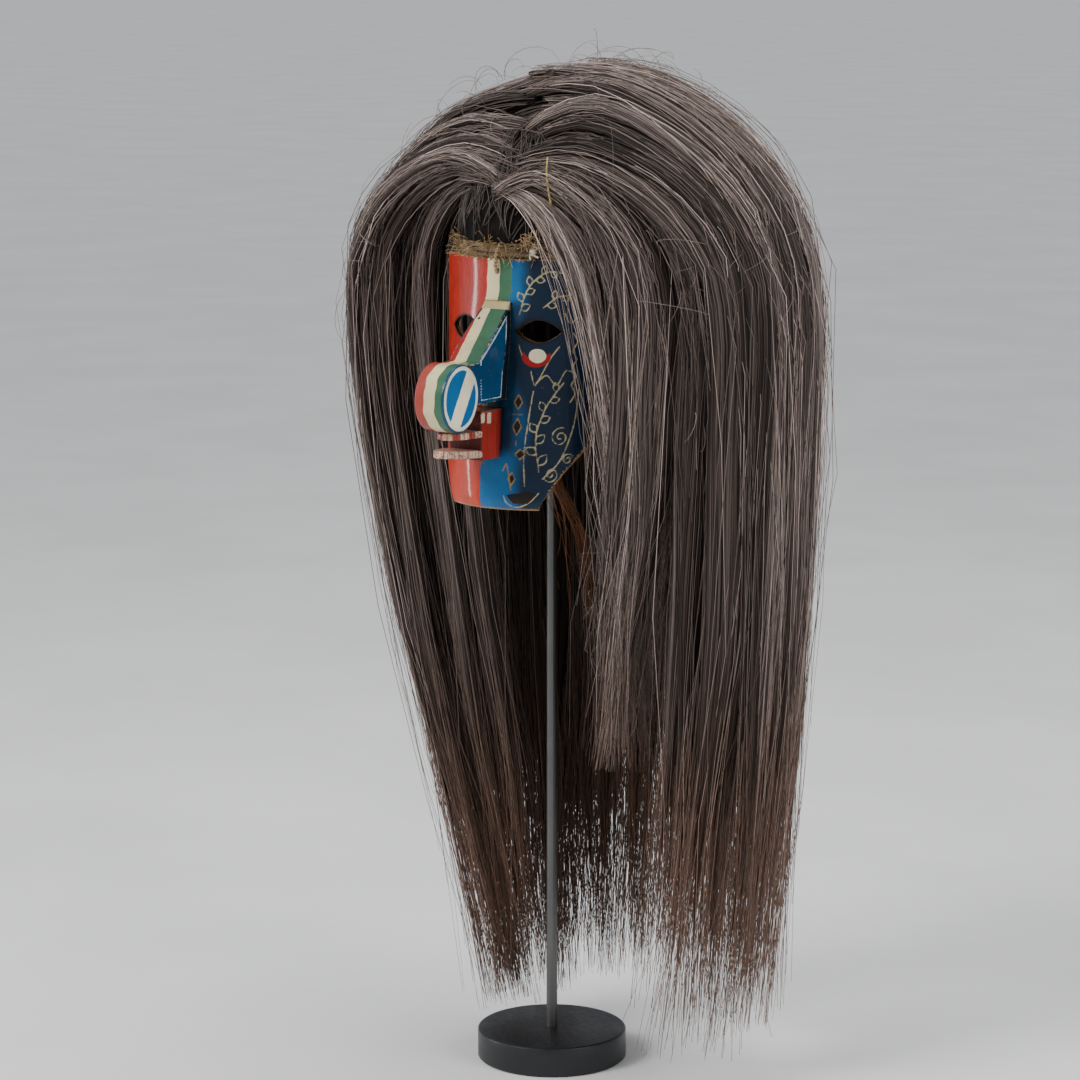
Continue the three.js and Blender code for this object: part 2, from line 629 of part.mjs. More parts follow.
// The hanks, with a parting between each two of them. The back one has outer locks only.
function hairHanks() {
  const outer = ring(OUTER_LOCKS, outerLock);
  const inner = ring(INNER_LOCKS, innerLock);
  const crownSpace = crownHair(GAP);
  const hank = (from, to, locks = [...outer, ...inner]) => {
    const chosen = locks.filter(({ angle }) => angle > from && angle < to);
    return joined(chosen.map(({ solid }) => solid)).subtract(crownSpace);
  };
  const backLeft = 360 - BACK_PARTING;
  const right = hank(0, BACK_PARTING).intersect(beyond(90, 0));
  const left = hank(backLeft, 360).intersect(beyond(-90, 0));
  const back = hank(BACK_PARTING, backLeft, outer);
  const rightParting = beyond(BACK_PARTING + 90, PARTINGS_MEET_Y);
  const leftParting = beyond(backLeft - 90, PARTINGS_MEET_Y);
  const rightSide = beyond(BACK_PARTING - 90, PARTINGS_MEET_Y);
  const leftSide = beyond(backLeft + 90, PARTINGS_MEET_Y);
  return {
    hair_crown: crownHair(0).subtract(capSpace()),
    hair_right: wholeBody(right.intersect(rightSide)),
    hair_left: wholeBody(left.intersect(leftSide)),
    hair_back: wholeBody(back.intersect(rightParting).intersect(leftParting)),
    hair_front_lock: wholeBody(frontLock().subtract(crownSpace).subtract(right)),
  };
}

const part = new THREE.Group();
part.name = 'dance_mask';

function place(name, geometry, material) {
  const mesh = new THREE.Mesh(geometry, material);
  mesh.name = name;
  part.add(mesh);
}

place('stand_base', toGeometry(toSolid(standBase())), steel);
place('stand_rod', toGeometry(toSolid(standRod())), steel);
place('mask_face', maskFace(), blueEnamel);
place('nose', nose(), creamEnamel);
place('mouth', mouth(), redEnamel);
place('front_lacing', frontLacing(), fibre);
place('wig_cap', wigCap(), fibre);
for (const [name, solid] of Object.entries(hairHanks())) {
  place(name, toGeometry(solid), hair);
}
place('chin_lock', toGeometry(chinLock()), auburnHair);

export default part;
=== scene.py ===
import math

import bpy
import numpy as np
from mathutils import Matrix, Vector


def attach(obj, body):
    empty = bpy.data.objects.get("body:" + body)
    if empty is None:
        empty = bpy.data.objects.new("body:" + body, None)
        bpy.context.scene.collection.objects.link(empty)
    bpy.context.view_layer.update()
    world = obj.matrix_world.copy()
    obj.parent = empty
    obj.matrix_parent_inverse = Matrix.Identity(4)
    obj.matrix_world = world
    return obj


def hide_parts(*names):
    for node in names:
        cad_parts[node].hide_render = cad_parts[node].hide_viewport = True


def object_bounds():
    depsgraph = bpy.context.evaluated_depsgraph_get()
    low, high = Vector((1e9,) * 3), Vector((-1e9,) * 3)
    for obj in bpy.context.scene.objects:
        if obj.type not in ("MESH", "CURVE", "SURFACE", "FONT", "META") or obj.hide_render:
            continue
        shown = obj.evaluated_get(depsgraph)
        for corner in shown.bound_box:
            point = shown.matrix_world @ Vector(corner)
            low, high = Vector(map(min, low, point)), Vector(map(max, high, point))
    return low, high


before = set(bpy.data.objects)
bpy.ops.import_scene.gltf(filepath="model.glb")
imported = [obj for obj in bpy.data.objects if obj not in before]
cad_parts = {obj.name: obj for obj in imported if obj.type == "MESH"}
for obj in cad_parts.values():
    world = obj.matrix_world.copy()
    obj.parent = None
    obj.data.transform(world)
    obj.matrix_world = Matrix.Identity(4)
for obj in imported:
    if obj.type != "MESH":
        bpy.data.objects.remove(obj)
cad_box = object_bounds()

# Sizes in mm, as in the part's source. Mesh code works in mm and mesh_object() turns them to metres.
MM = 0.001
BASE_RADIUS = 63.5
BASE_HEIGHT = 25.4
ROD_RADIUS = 4.75
ROD_SEAT_Z = 10.4
FACE_TOP_Z = 691.0
FACE_HEIGHT = 203.5
FACE_BOTTOM_Z = FACE_TOP_Z - FACE_HEIGHT
FACE_HALF_WIDTH = 71.4
FACE_WALL = 4.5
FACE_TOP_Y = -75.0
FACE_LEAN = 0.1116
RIM_Y = -47.5
JAW_HEIGHT = 53.5
CHIN_HALF_WIDTH = 42.0
JAW_POWER = 1.15
CHIN_ROLL_HEIGHT = 13.0
CHIN_ROLL_DEPTH = 5.0
EYE_Z = FACE_BOTTOM_Z + 145.5
EYE_INNER_X = 18.0
EYE_LENGTH = 35.0
EYE_RISE = 9.0
LACING_HOLE = (-3.0, FACE_TOP_Z - 11.0)
NOSE_TOP_Z = FACE_TOP_Z - 34.2
NOSE_LENGTH = 79.0
NOSE_BOTTOM_Z = NOSE_TOP_Z - NOSE_LENGTH
NOSE_HALF_WIDTH = 12.6
NOSE_FLARE = 2.4
DRUM_HALF_WIDTH = 14.2
DRUM_DEPTH = 49.0
DRUM_HEIGHT = 55.0
DRUM_TILT = -0.2
BAR_CENTRE = (-147.2, 585.6)
BAR_TURN = 0.53
NOSE_HOLE = (-9.0, 643.0)
MOUTH_TOP_Z = NOSE_BOTTOM_Z - 6.5
MOUTH_HEIGHT = 40.0
MOUTH_BOTTOM_Z = MOUTH_TOP_Z - MOUTH_HEIGHT
MOUTH_HALF_WIDTH = 16.0
MOUTH_X = -4.0
CAP_HALF_WIDTH = 76.0
CAP_HALF_DEPTH = 90.0
CAP_HEIGHT = 84.0
CAP_BOTTOM_Z = FACE_TOP_Z + 0.3
CAP_Y = FACE_TOP_Y - 1 + CAP_HALF_DEPTH
BAND_HEIGHT = 12.0
HAIR_HALF_WIDTH = 205.0
HAIR_HALF_DEPTH = 168.0
HAIR_X = 15.0
HAIR_Y = 20.0
SHOULDER_Z = 650.0
FACE_OPENING = 60.0
BACK_PARTING = 143.0

BROW_RISE = 122.0
CROWN_RISE = 196.0
PARTING_FRONT_Y = -68.0
PARTING_LENGTH = 140.0

lowest, highest = (np.array(corner) / MM for corner in cad_box)
slack = 0.028 * (highest - lowest) + 8
cad_limits = lowest - slack, highest + slack
rng = np.random.default_rng(41)


# Meshes
def write_floats(mesh, floats):
    for key, values in floats.items():
        layer = mesh.attributes.new(key, "FLOAT", "POINT")
        layer.data.foreach_set("value", np.asarray(values, np.float32))


def mesh_object(name, points, faces, material, node=None, floats=None, colours=None):
    """A piece from points in mm and groups of triangles and quads. It rides on the root body."""
    mesh = bpy.data.meshes.new(name)
    mesh.vertices.add(len(points))
    mesh.vertices.foreach_set("co", (np.asarray(points, np.float32) * MM).ravel())
    groups = [np.asarray(group, np.int32) for group in faces]
    corners = np.concatenate([group.ravel() for group in groups])
    totals = np.concatenate([np.full(len(group), group.shape[1], np.int32) for group in groups])
    mesh.loops.add(len(corners))
    mesh.loops.foreach_set("vertex_index", corners)
    mesh.polygons.add(len(totals))
    starts = np.concatenate([[0], np.cumsum(totals)[:-1]])
    mesh.polygons.foreach_set("loop_start", starts.astype(np.int32))
    mesh.polygons.foreach_set("use_smooth", np.ones(len(totals), bool))
    mesh.update(calc_edges=True)
    write_floats(mesh, floats or {})
    for key, values in (colours or {}).items():
        layer = mesh.attributes.new(key, "FLOAT_COLOR", "POINT")
        rgba = np.concatenate([values, np.ones((len(values), 1))], axis=1)
        layer.data.foreach_set("color", np.asarray(rgba, np.float32).ravel())
    mesh.materials.append(material)
    piece = bpy.data.objects.new(name, mesh)
    bpy.context.scene.collection.objects.link(piece)
    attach(piece, "root")
    if node:
        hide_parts(*([node] if isinstance(node, str) else node))
    return piece


def oriented(points, faces):
    """The same faces, turned outward."""
    points = np.asarray(points, float)
    volume = 0.0
    for group in faces:
        group = np.asarray(group)
        for k in range(1, group.shape[1] - 1):
            a, b, c = points[group[:, 0]], points[group[:, k]], points[group[:, k + 1]]
            volume += np.einsum("ij,ij->i", a, np.cross(b, c)).sum()
    return [np.asarray(group)[:, ::-1] for group in faces] if volume < 0 else faces


def joined(parts):
    """Several (points, faces) as one."""
    points, faces, start = [], [], 0
    for part_points, part_faces in parts:
        points.append(np.asarray(part_points, float))
        faces += [np.asarray(group) + start for group in oriented(part_points, part_faces)]
        start += len(part_points)
    return np.concatenate(points), faces


def grid_faces(rows, columns, closed=False, start=0):
    """Quads of a grid of rows x columns points."""
    across = columns if closed else columns - 1
    i, j = np.meshgrid(np.arange(rows - 1), np.arange(across), indexing="ij")
    a = start + i * columns + j
    b = start + i * columns + (j + 1) % columns
    return np.stack([a, b, b + columns, a + columns], axis=-1).reshape(-1, 4)


def tube_faces(rows, columns):
    """Faces of a closed tube of rows x columns points, whose two last points close its ends."""
    k = np.arange(columns)
    follow = (k + 1) % columns
    first, top = rows * columns, (rows - 1) * columns
    ends = np.concatenate([
        np.stack([np.full(columns, first), follow, k], axis=1),
        np.stack([np.full(columns, first + 1), top + k, top + follow], axis=1),
    ])
    return [grid_faces(rows, columns, closed=True), ends]


def unit(vectors):
    return vectors / np.maximum(np.linalg.norm(vectors, axis=-1, keepdims=True), 1e-9)


def frames_along(path, hint):
    """Tangent, outward and across directions of each path, outward as near as it can be to hint."""
    tangent = unit(np.gradient(path, axis=-2))
    outward = hint - (hint * tangent).sum(-1, keepdims=True) * tangent
    outward = unit(outward)
    return tangent, outward, np.cross(tangent, outward)


def sweep(path, sizes, sides=8, hint=(0.0, 0.0, 1.0)):
    """A closed tube along a path. sizes is a radius for each point, or [across, outward] radii."""
    path = np.asarray(path, float)
    sizes = np.asarray(sizes, float).reshape(len(path) if np.ndim(sizes) else 1, -1)
    sizes = np.broadcast_to(sizes, (len(path), 2))
    _, outward, across = frames_along(path, np.broadcast_to(np.asarray(hint, float), path.shape))
    turn = 2 * np.pi * np.arange(sides) / sides
    ring = (
        across[:, None] * (np.cos(turn)[None, :, None] * sizes[:, None, :1])
        + outward[:, None] * (np.sin(turn)[None, :, None] * sizes[:, None, 1:])
    )
    points = np.concatenate([(path[:, None] + ring).reshape(-1, 3), path[:1], path[-1:]])
    return points, tube_faces(len(path), sides)


def curve_through(points, count):
    """A smooth curve through points (..., K, 3), sampled at count places."""
    points = np.asarray(points, float)
    steps = np.sqrt(np.linalg.norm(np.diff(points, axis=-2), axis=-1))
    knots = np.concatenate([np.zeros(steps.shape[:-1] + (1,)), np.cumsum(steps, axis=-1)], axis=-1)
    slopes = np.empty_like(points)
    inner = np.diff(points, axis=-2) / np.diff(knots, axis=-1)[..., None]
    before, after = np.diff(knots, axis=-1)[..., :-1, None], np.diff(knots, axis=-1)[..., 1:, None]
    slopes[..., 1:-1, :] = (inner[..., :-1, :] * after + inner[..., 1:, :] * before) / (before + after)
    slopes[..., 0, :] = inner[..., 0, :]
    slopes[..., -1, :] = inner[..., -1, :]
    at = np.linspace(0, 1, count) * knots[..., -1:]
    piece = np.clip((at[..., None] >= knots[..., None, 1:-1]).sum(-1), 0, points.shape[-2] - 2)

    def pick(values, shift=0):
        return np.take_along_axis(values, (piece + shift)[..., None], axis=-2)

    left = np.take_along_axis(knots, piece, axis=-1)
    right = np.take_along_axis(knots, piece + 1, axis=-1)
    width = (right - left)[..., None]
    t = (at - left)[..., None] / width
    return (
        (2 * t**3 - 3 * t**2 + 1) * pick(points)
        + (t**3 - 2 * t**2 + t) * width * pick(slopes)
        + (3 * t**2 - 2 * t**3) * pick(points, 1)
        + (t**3 - t**2) * width * pick(slopes, 1)
    )


def smooth(a, b, s):
    """From a to b as s goes from 0 to 1, level at both ends."""
    s = np.clip(s, 0, 1)
    return a + (b - a) * s * s * (3 - 2 * s)


def lengths_along(line):
    return np.concatenate([[0], np.cumsum(np.linalg.norm(np.diff(line, axis=0), axis=1))])


def inward_of(outline):
    """Directions into a closed outline at each of its points."""
    along = unit(np.roll(outline, -1, axis=0) - np.roll(outline, 1, axis=0))
    inward = np.stack([-along[:, 1], along[:, 0]], axis=1)
    following = np.roll(outline, -1, axis=0)
    area = (outline[:, 0] * following[:, 1] - following[:, 0] * outline[:, 1]).sum()
    return -inward if area < 0 else inward


def rounded_slab(outline, low, high, rounding, layers=6, rings=8, arc=4):
    """An outline of [x, y] points extruded from low to high in z, with rounded edges and dense caps."""
    outline = np.asarray(outline, float)
    inward = inward_of(outline)
    turn = np.linspace(0, np.pi / 2, arc)
    insets = rounding * (1 - np.sin(turn))
    heights = rounding * (1 - np.cos(turn))
    levels = [(low + h, i) for h, i in zip(heights, insets)]
    levels += [(z, 0.0) for z in np.linspace(low + rounding, high - rounding, layers + 1)[1:-1]]
    levels += [(high - h, i) for h, i in zip(heights[::-1], insets[::-1])]
    centre = outline.mean(axis=0)
    rows = []
    edge = outline + inward * insets[0]
    for k in range(rings, 0, -1):
        rows.append((centre + (edge - centre) * (1 - k / (rings + 1)), low))
    rows += [(outline + inward * inset, z) for z, inset in levels]
    for k in range(1, rings + 1):
        rows.append((centre + (edge - centre) * (1 - k / (rings + 1)), high))
    points = np.concatenate([np.column_stack([xy, np.full(len(xy), z)]) for xy, z in rows])
    points = np.concatenate([points, [[*centre, low], [*centre, high]]])
    return points, tube_faces(len(rows), len(outline))


def resampled(outline, step):
    """A closed outline with points about every step."""
    outline = np.asarray(outline, float)
    closed = np.concatenate([outline, outline[:1]])
    places = lengths_along(closed)
    at = np.linspace(0, places[-1], max(8, int(places[-1] / step)), endpoint=False)
    return np.column_stack([np.interp(at, places, closed[:, k]) for k in (0, 1)])


# Distances for painted shapes, in mm, positive inside
def to_line(points, line):
    """Plain distance to an open line."""
    line = np.asarray(line, float)
    best = np.full(len(points), 1e6)
    for p, q in zip(line[:-1], line[1:]):
        d = q - p
        t = np.clip(((points - p) @ d) / max(d @ d, 1e-9), 0, 1)
        np.minimum(best, np.hypot(*(points - p - t[:, None] * d).T), out=best)
    return best


def strokes(points, lines, width):
    best = np.full(len(points), 1e6)
    for line in lines:
        line = np.asarray(line, float)
        near = (
            (points > line.min(axis=0) - 4 * width) & (points < line.max(axis=0) + 4 * width)
        ).all(axis=1)
        if near.any():
            best[near] = np.minimum(best[near], to_line(points[near], line))
    return width / 2 - np.minimum(best, 4 * width)


def inside(points, outline):
    outline = np.asarray(outline, float)
    closed = np.concatenate([outline, outline[:1]])
    crossings = np.zeros(len(points), bool)
    for (x0, y0), (x1, y1) in zip(closed[:-1], closed[1:]):
        if y0 == y1:
            continue
        hit = (points[:, 1] > min(y0, y1)) & (points[:, 1] <= max(y0, y1))
        crossings ^= hit & (points[:, 0] < x0 + (points[:, 1] - y0) * (x1 - x0) / (y1 - y0))
    return to_line(points, closed) * np.where(crossings, 1, -1)


def rotated(x, y, turn):
    return x * math.cos(turn) - y * math.sin(turn), x * math.sin(turn) + y * math.cos(turn)


def ellipse(centre, radii, turn=0.0, count=28, start=0.0, end=2 * np.pi):
    angles = np.linspace(start, end, count)
    x, y = radii[0] * np.cos(angles), radii[1] * np.sin(angles)
    return np.column_stack(rotated(x, y, turn)) + centre


# Materials
def rgb(r, g, b):
    """Linear colour from 0-255 display values."""
    values = np.array([r, g, b]) / 255
    return tuple(np.where(values <= 0.04045, values / 12.92, ((values + 0.055) / 1.055) ** 2.4))


class Shader:
    """A node material, built from small steps that return sockets."""

    def __init__(self, name):
        self.material = bpy.data.materials.new(name)
        self.material.use_nodes = True
        self.tree = self.material.node_tree
        self.tree.nodes.clear()
        self.bsdf = self.tree.nodes.new("ShaderNodeBsdfPrincipled")
        output = self.tree.nodes.new("ShaderNodeOutputMaterial")
        self.tree.links.new(self.bsdf.outputs["BSDF"], output.inputs["Surface"])
        self.place = self.tree.nodes.new("ShaderNodeTexCoord").outputs["Object"]

    def put(self, socket, value):
        if isinstance(value, bpy.types.NodeSocket):
            self.tree.links.new(value, socket)
        elif socket.type == "RGBA" and len(value) == 3:
            socket.default_value = (*value, 1)
        else:
            socket.default_value = value

    def set(self, **values):
        for key, value in values.items():
            self.put(self.bsdf.inputs[key.replace("_", " ").replace("Ior", "IOR")], value)
        return self.material

    def attribute(self, name, output="Fac"):
        node = self.tree.nodes.new("ShaderNodeAttribute")
        node.attribute_name = name
        return node.outputs[output]

    def math(self, operation, *values):
        node = self.tree.nodes.new("ShaderNodeMath")
        node.operation = operation
        for socket, value in zip(node.inputs, values):
            self.put(socket, value)
        return node.outputs[0]

    def stretched(self, scale, place=None):
        node = self.tree.nodes.new("ShaderNodeMapping")
        self.put(node.inputs["Vector"], place or self.place)
        node.inputs["Scale"].default_value = scale
        return node.outputs[0]

    def noise(self, scale, detail=3.0, roughness=0.55, place=None):
        node = self.tree.nodes.new("ShaderNodeTexNoise")
        self.put(node.inputs["Vector"], place or self.place)
        node.inputs["Scale"].default_value = scale
        node.inputs["Detail"].default_value = detail
        node.inputs["Roughness"].default_value = roughness
        return node.outputs[0]

    def range(self, value, low, high, out_low=0.0, out_high=1.0):
        node = self.tree.nodes.new("ShaderNodeMapRange")
        node.interpolation_type = "SMOOTHSTEP"
        for socket, number in zip(node.inputs, (value, low, high, out_low, out_high)):
            self.put(socket, number)
        return node.outputs[0]

    def blend(self, *parts):
        """The sum of values, each times its weight."""
        total = None
        for value, weight in parts:
            term = self.math("MULTIPLY", value, weight)
            total = term if total is None else self.math("ADD", total, term)
        return total

    def tinted(self, colour, factor, tint):
        """A colour, multiplied by a tint as far as the factor says."""
        return self.mix(factor, colour, self.mix(1.0, colour, tint, "MULTIPLY"))

    def mix(self, factor, a, b, blend="MIX"):
        node = self.tree.nodes.new("ShaderNodeMix")
        node.data_type = "RGBA"
        node.blend_type = blend
        self.put(node.inputs[0], factor)
        self.put(node.inputs[6], a)
        self.put(node.inputs[7], b)
        return node.outputs[2]

    def bump(self, height, distance, strength=1.0):
        node = self.tree.nodes.new("ShaderNodeBump")
        node.inputs["Strength"].default_value = strength
        node.inputs["Distance"].default_value = distance
        self.put(node.inputs["Height"], height)
        self.tree.links.new(node.outputs[0], self.bsdf.inputs["Normal"])


RED = rgb(152, 34, 22)
CREAM = rgb(208, 196, 152)
GREEN = rgb(58, 98, 72)
BLUE = rgb(12, 72, 112)
NAVY = rgb(9, 30, 50)
WHITE = rgb(226, 224, 210)
TAN = rgb(150, 118, 80)
DARK = rgb(26, 20, 18)


def enamel(name, layers, wood, wobble=0.45):
    """Brushed-on enamel. layers is a list of (attribute, colour, soft) painted one over the other."""
    s = Shader(name)
    edge_noise = s.math("MULTIPLY", s.math("SUBTRACT", s.noise(260, 2), 0.5), 2 * wobble)
    broad = s.noise(28, 3)
    fine = s.noise(420, 3, 0.6)
    streak = s.noise(60, 3, 0.6, s.stretched((1.0, 1.0, 0.16)))
    colour = layers[0][1]
    for key, tone, soft in layers[1:]:
        value = s.math("ADD", s.attribute(key), edge_noise)
        colour = s.mix(s.range(value, -soft, soft), colour, tone)
    colour = s.tinted(colour, s.range(broad, 0.35, 0.7, 0.0, 0.45), (0.5, 0.5, 0.55))
    colour = s.tinted(colour, s.range(streak, 0.45, 0.75, 0.0, 0.4), (1.5, 1.42, 1.3))
    wear = s.blend((s.noise(520, 3, 0.7), 1.0), (s.noise(55, 2), 0.5), (s.attribute("rub"), 0.34))
    chip = s.range(wear, 1.0, 1.04)
    colour = s.mix(chip, colour, wood)
    # This darkening is partly dirt and partly painted shade in recesses, under parts and in cast
    # shadows.
    grime_and_shade = s.range(s.blend((s.attribute("grime_and_shade"), 1.0), (fine, 0.35)), 0.3, 1.0, 0.0, 0.85)
    colour = s.tinted(colour, grime_and_shade, (0.13, 0.11, 0.1))
    rough = s.range(s.blend((chip, 0.6), (fine, 0.5)), 0.1, 1.1, 0.34, 0.8)
    height = s.blend((s.noise(90, 4, 0.6), 0.7), (streak, 0.5), (chip, -0.8), (fine, 0.12))
    s.bump(height, 0.0016, 0.75)
    s.set(Base_Color=colour, Roughness=rough, Specular_IOR_Level=0.12)
    return s.set(Coat_Weight=0.34, Coat_Roughness=0.1)


def hair_material(name):
    s = Shader(name)
    along = s.noise(180, 2, 0.6, s.stretched((1.0, 1.0, 0.08)))
    pale = s.range(along, 0.3, 0.75, 0.0, 0.5)
    tone = s.tinted(s.attribute("tint", "Color"), pale, (1.5, 1.45, 1.42))
    rough = s.range(along, 0.2, 0.8, 0.44, 0.64)
    return s.set(Base_Color=tone, Roughness=rough, Specular_IOR_Level=0.4)


def core_material(name):
    s = Shader(name)
    place = s.tree.nodes.new("ShaderNodeCombineXYZ")
    for socket, axis in zip(place.inputs, "xyz"):
        s.put(socket, s.attribute("streak_" + axis))
    lines = s.noise(6.0, 6, 0.75, place.outputs[0])
    dark = s.mix(1.0, s.attribute("tint", "Color"), (0.1, 0.09, 0.09), "MULTIPLY")
    tone = s.mix(s.range(lines, 0.44, 0.6), dark, s.attribute("tint", "Color"))
    s.bump(lines, 0.003, 1.0)
    return s.set(Base_Color=tone, Roughness=0.7, Specular_IOR_Level=0.12)


cores_material = core_material("hair inside")


def fibre_material(name, light, dark, scale=240):
    s = Shader(name)
    lines = s.noise(scale, 4, 0.65, s.stretched((0.35, 0.35, 1.0)))
    tone = s.mix(s.range(lines, 0.3, 0.7), dark, light)
    s.bump(lines, 0.001, 0.8)
    return s.set(Base_Color=tone, Roughness=0.85, Sheen_Weight=0.15)


def steel_material(name, tone, rough_low, rough_high, brushed, shaded_above=None):
    s = Shader(name)
    grain = s.noise(300, 3, 0.6, s.stretched(brushed))
    smudge = s.noise(14, 4, 0.6)
    colour = s.tinted(tone, s.range(smudge, 0.35, 0.7, 0.0, 0.5), (0.7, 0.7, 0.72))
    rough = s.range(s.blend((grain, 0.6), (smudge, 0.4)), 0.3, 0.7, rough_low, rough_high)
    s.bump(grain, 0.0002, 0.25)
    if shaded_above is None:
        return s.set(Base_Color=colour, Roughness=rough, Metallic=0.85)
    # Above that height the rod is painted near-black and matt: painted shade inside the mask and the
    # wig.
    height = s.tree.nodes.new("ShaderNodeSeparateXYZ")
    s.put(height.inputs[0], s.place)
    rod_top_shade = s.range(height.outputs[2], shaded_above * MM, shaded_above * MM + 0.02)
    colour = s.mix(rod_top_shade, colour, rgb(16, 14, 13))
    rough = s.math("ADD", rough, s.math("MULTIPLY", rod_top_shade, 0.4))
    metal = s.math("SUBTRACT", 0.85, s.math("MULTIPLY", rod_top_shade, 0.85))
    return s.set(Base_Color=colour, Roughness=rough, Metallic=metal, Specular_IOR_Level=0.1)


# Face
def face_front_y(z):
    return FACE_TOP_Y - (FACE_TOP_Z - z) * FACE_LEAN


def face_radius(z):
    depth = RIM_Y - face_front_y(z)
    return (FACE_HALF_WIDTH**2 + depth**2) / (2 * depth)


def face_half_width(z):
    share = np.clip((z - FACE_BOTTOM_Z) / JAW_HEIGHT, 0, 1)
    return CHIN_HALF_WIDTH + (FACE_HALF_WIDTH - CHIN_HALF_WIDTH) * share**JAW_POWER


def face_point(u, z):
    radius = face_radius(z)
    angle = u * np.arcsin(face_half_width(z) / radius)
    from_edge = np.maximum(0, 1 - (z - FACE_BOTTOM_Z) / CHIN_ROLL_HEIGHT)
    roll = CHIN_ROLL_DEPTH * (1 - np.sqrt(1 - from_edge**2 * 0.95))
    y = face_front_y(z) + radius * (1 - np.cos(angle)) + roll
    return np.stack([radius * np.sin(angle), y, z], axis=-1)


def face_inward(u, z):
    step = 0.004
    across = face_point(u + step, z) - face_point(u - step, z)
    top, bottom = np.minimum(z + 1, FACE_TOP_Z), np.maximum(z - 1, FACE_BOTTOM_Z)
    up = face_point(u, top) - face_point(u, bottom)
    up[..., 0] = 0
    return unit(np.cross(up, across))


def face_sheet():
    """The bent shell with rounded edges, finer on the side with fine brushwork."""
    rounding = 1.5
    near_edge = np.array([0, 0.2, 0.55, 1.0, 1.6])
    half_arc = 82.0
    left = np.linspace(-half_arc + 3.6, -6, 28)
    right = np.linspace(-5, half_arc - 2.6, 82)
    arcs = np.concatenate([-half_arc + near_edge, left, right, half_arc - near_edge[::-1]])
    top = FACE_TOP_Z - near_edge[::-1]
    bottom = FACE_BOTTOM_Z + near_edge
    heights = np.concatenate([bottom, np.linspace(FACE_BOTTOM_Z + 2.4, FACE_TOP_Z - 2.6, 172), top])
    u, z = np.meshgrid(arcs / half_arc, heights)
    to_side = (1 - np.abs(u)) * half_arc
    distance = np.minimum(to_side, np.minimum(FACE_TOP_Z - z, z - FACE_BOTTOM_Z))
    drop = rounding - np.sqrt(np.maximum(0, rounding**2 - np.maximum(0, rounding - distance) ** 2))
    dents = 0.35 * np.sin(z / 23 + u * 3) * np.sin(u * 7 + z / 41) * np.clip(distance / 10, 0, 1)
    inward = face_inward(u, z)
    outer = face_point(u, z) + inward * (drop + dents)[..., None]
    inner = face_point(u, z) + inward * (FACE_WALL - drop + dents)[..., None]
    inner[..., 2] = np.clip(inner[..., 2], FACE_BOTTOM_Z, FACE_TOP_Z)
    outer[..., 2] = np.clip(outer[..., 2], FACE_BOTTOM_Z, FACE_TOP_Z)
    rows, columns = u.shape
    sheet = rows * columns
    front = grid_faces(rows, columns)
    back = grid_faces(rows, columns, start=sheet)[:, ::-1]
    border = np.concatenate([
        np.arange(columns),
        np.arange(1, rows) * columns + columns - 1,
        (rows - 1) * columns + np.arange(columns - 2, -1, -1),
        np.arange(rows - 2, 0, -1) * columns,
    ])
    follow = np.roll(border, -1)
    rim = np.stack([follow, border, border + sheet, follow + sheet], axis=1)
    points = np.concatenate([outer.reshape(-1, 3), inner.reshape(-1, 3)])
    return points, [np.concatenate([front, back, rim])]


def eye_outline(side, growth=0.0, count=24):
    half = EYE_LENGTH / 2 + growth
    rise = EYE_RISE + growth
    t = np.linspace(-1, 1, count)
    upper = np.column_stack([t * half, rise * (1 - t**2)])
    lower = np.column_stack([t[::-1] * half, -rise * (1 - t[::-1] ** 2)])
    outline = np.concatenate([upper[:-1], lower[:-1]])
    return outline + [side * (EYE_INNER_X + EYE_LENGTH / 2), EYE_Z]


def cut_holes(piece):
    """Eye holes and the lacing hole, cut through the shell along Y."""
    hole = ellipse(LACING_HOLE, (2.3, 2.3), count=17)[:-1]
    for outline in (eye_outline(-1), eye_outline(1), hole):
        points, faces = rounded_slab(outline, -130, -20, 0.01, layers=1, rings=0, arc=2)
        points = points[:, [0, 2, 1]]
        cutter_mesh = bpy.data.meshes.new("cutter")
        listed = [tuple(face) for group in oriented(points, faces) for face in group]
        cutter_mesh.from_pydata((points * MM).tolist(), [], listed)
        cutter = bpy.data.objects.new("cutter", cutter_mesh)
        bpy.context.scene.collection.objects.link(cutter)
        modifier = piece.modifiers.new("hole", "BOOLEAN")
        modifier.operation = "DIFFERENCE"
        modifier.object = cutter
        graph = bpy.context.evaluated_depsgraph_get()
        cut = bpy.data.meshes.new_from_object(piece.evaluated_get(graph))
        piece.modifiers.remove(modifier)
        old = piece.data
        piece.data = cut
        bpy.data.meshes.remove(old)
        bpy.data.objects.remove(cutter)
        bpy.data.meshes.remove(cutter_mesh)


def read_points(piece):
    values = np.empty(len(piece.data.vertices) * 3, np.float32)
    piece.data.vertices.foreach_get("co", values)
    return values.reshape(-1, 3).astype(float) / MM


def leafy_stem(line, leaf, spacing, width=0.32):
    """A stem with small pointed leaves on both sides, as open lines."""
    line = np.asarray(line, float)
    lengths = lengths_along(line)
    lines = [line]
    for k, at in enumerate(np.arange(spacing * 0.6, lengths[-1], spacing)):
        base = np.array([np.interp(at, lengths, line[:, i]) for i in (0, 1)])
        ahead = np.array([np.interp(at + 1, lengths, line[:, i]) for i in (0, 1)]) - base
        heading = math.atan2(ahead[1], ahead[0]) + (0.85 if k % 2 else -0.85)
        size = leaf * (1 - 0.35 * at / lengths[-1])
        t = np.linspace(0, 1, 8)
        bow = width * size * np.sin(np.pi * t)
        for side in (1, -1):
            lines.append(base + np.column_stack(rotated(size * t, side * bow, heading)))
    return lines


def spiral(centre, radius, turns, start=0.0, count=30):
    t = np.linspace(0, 1, count)
    angle = start + 2 * np.pi * turns * t
    reach = radius * (1 - 0.85 * t)
    return np.column_stack([centre[0] + reach * np.cos(angle), centre[1] + reach * np.sin(angle)])


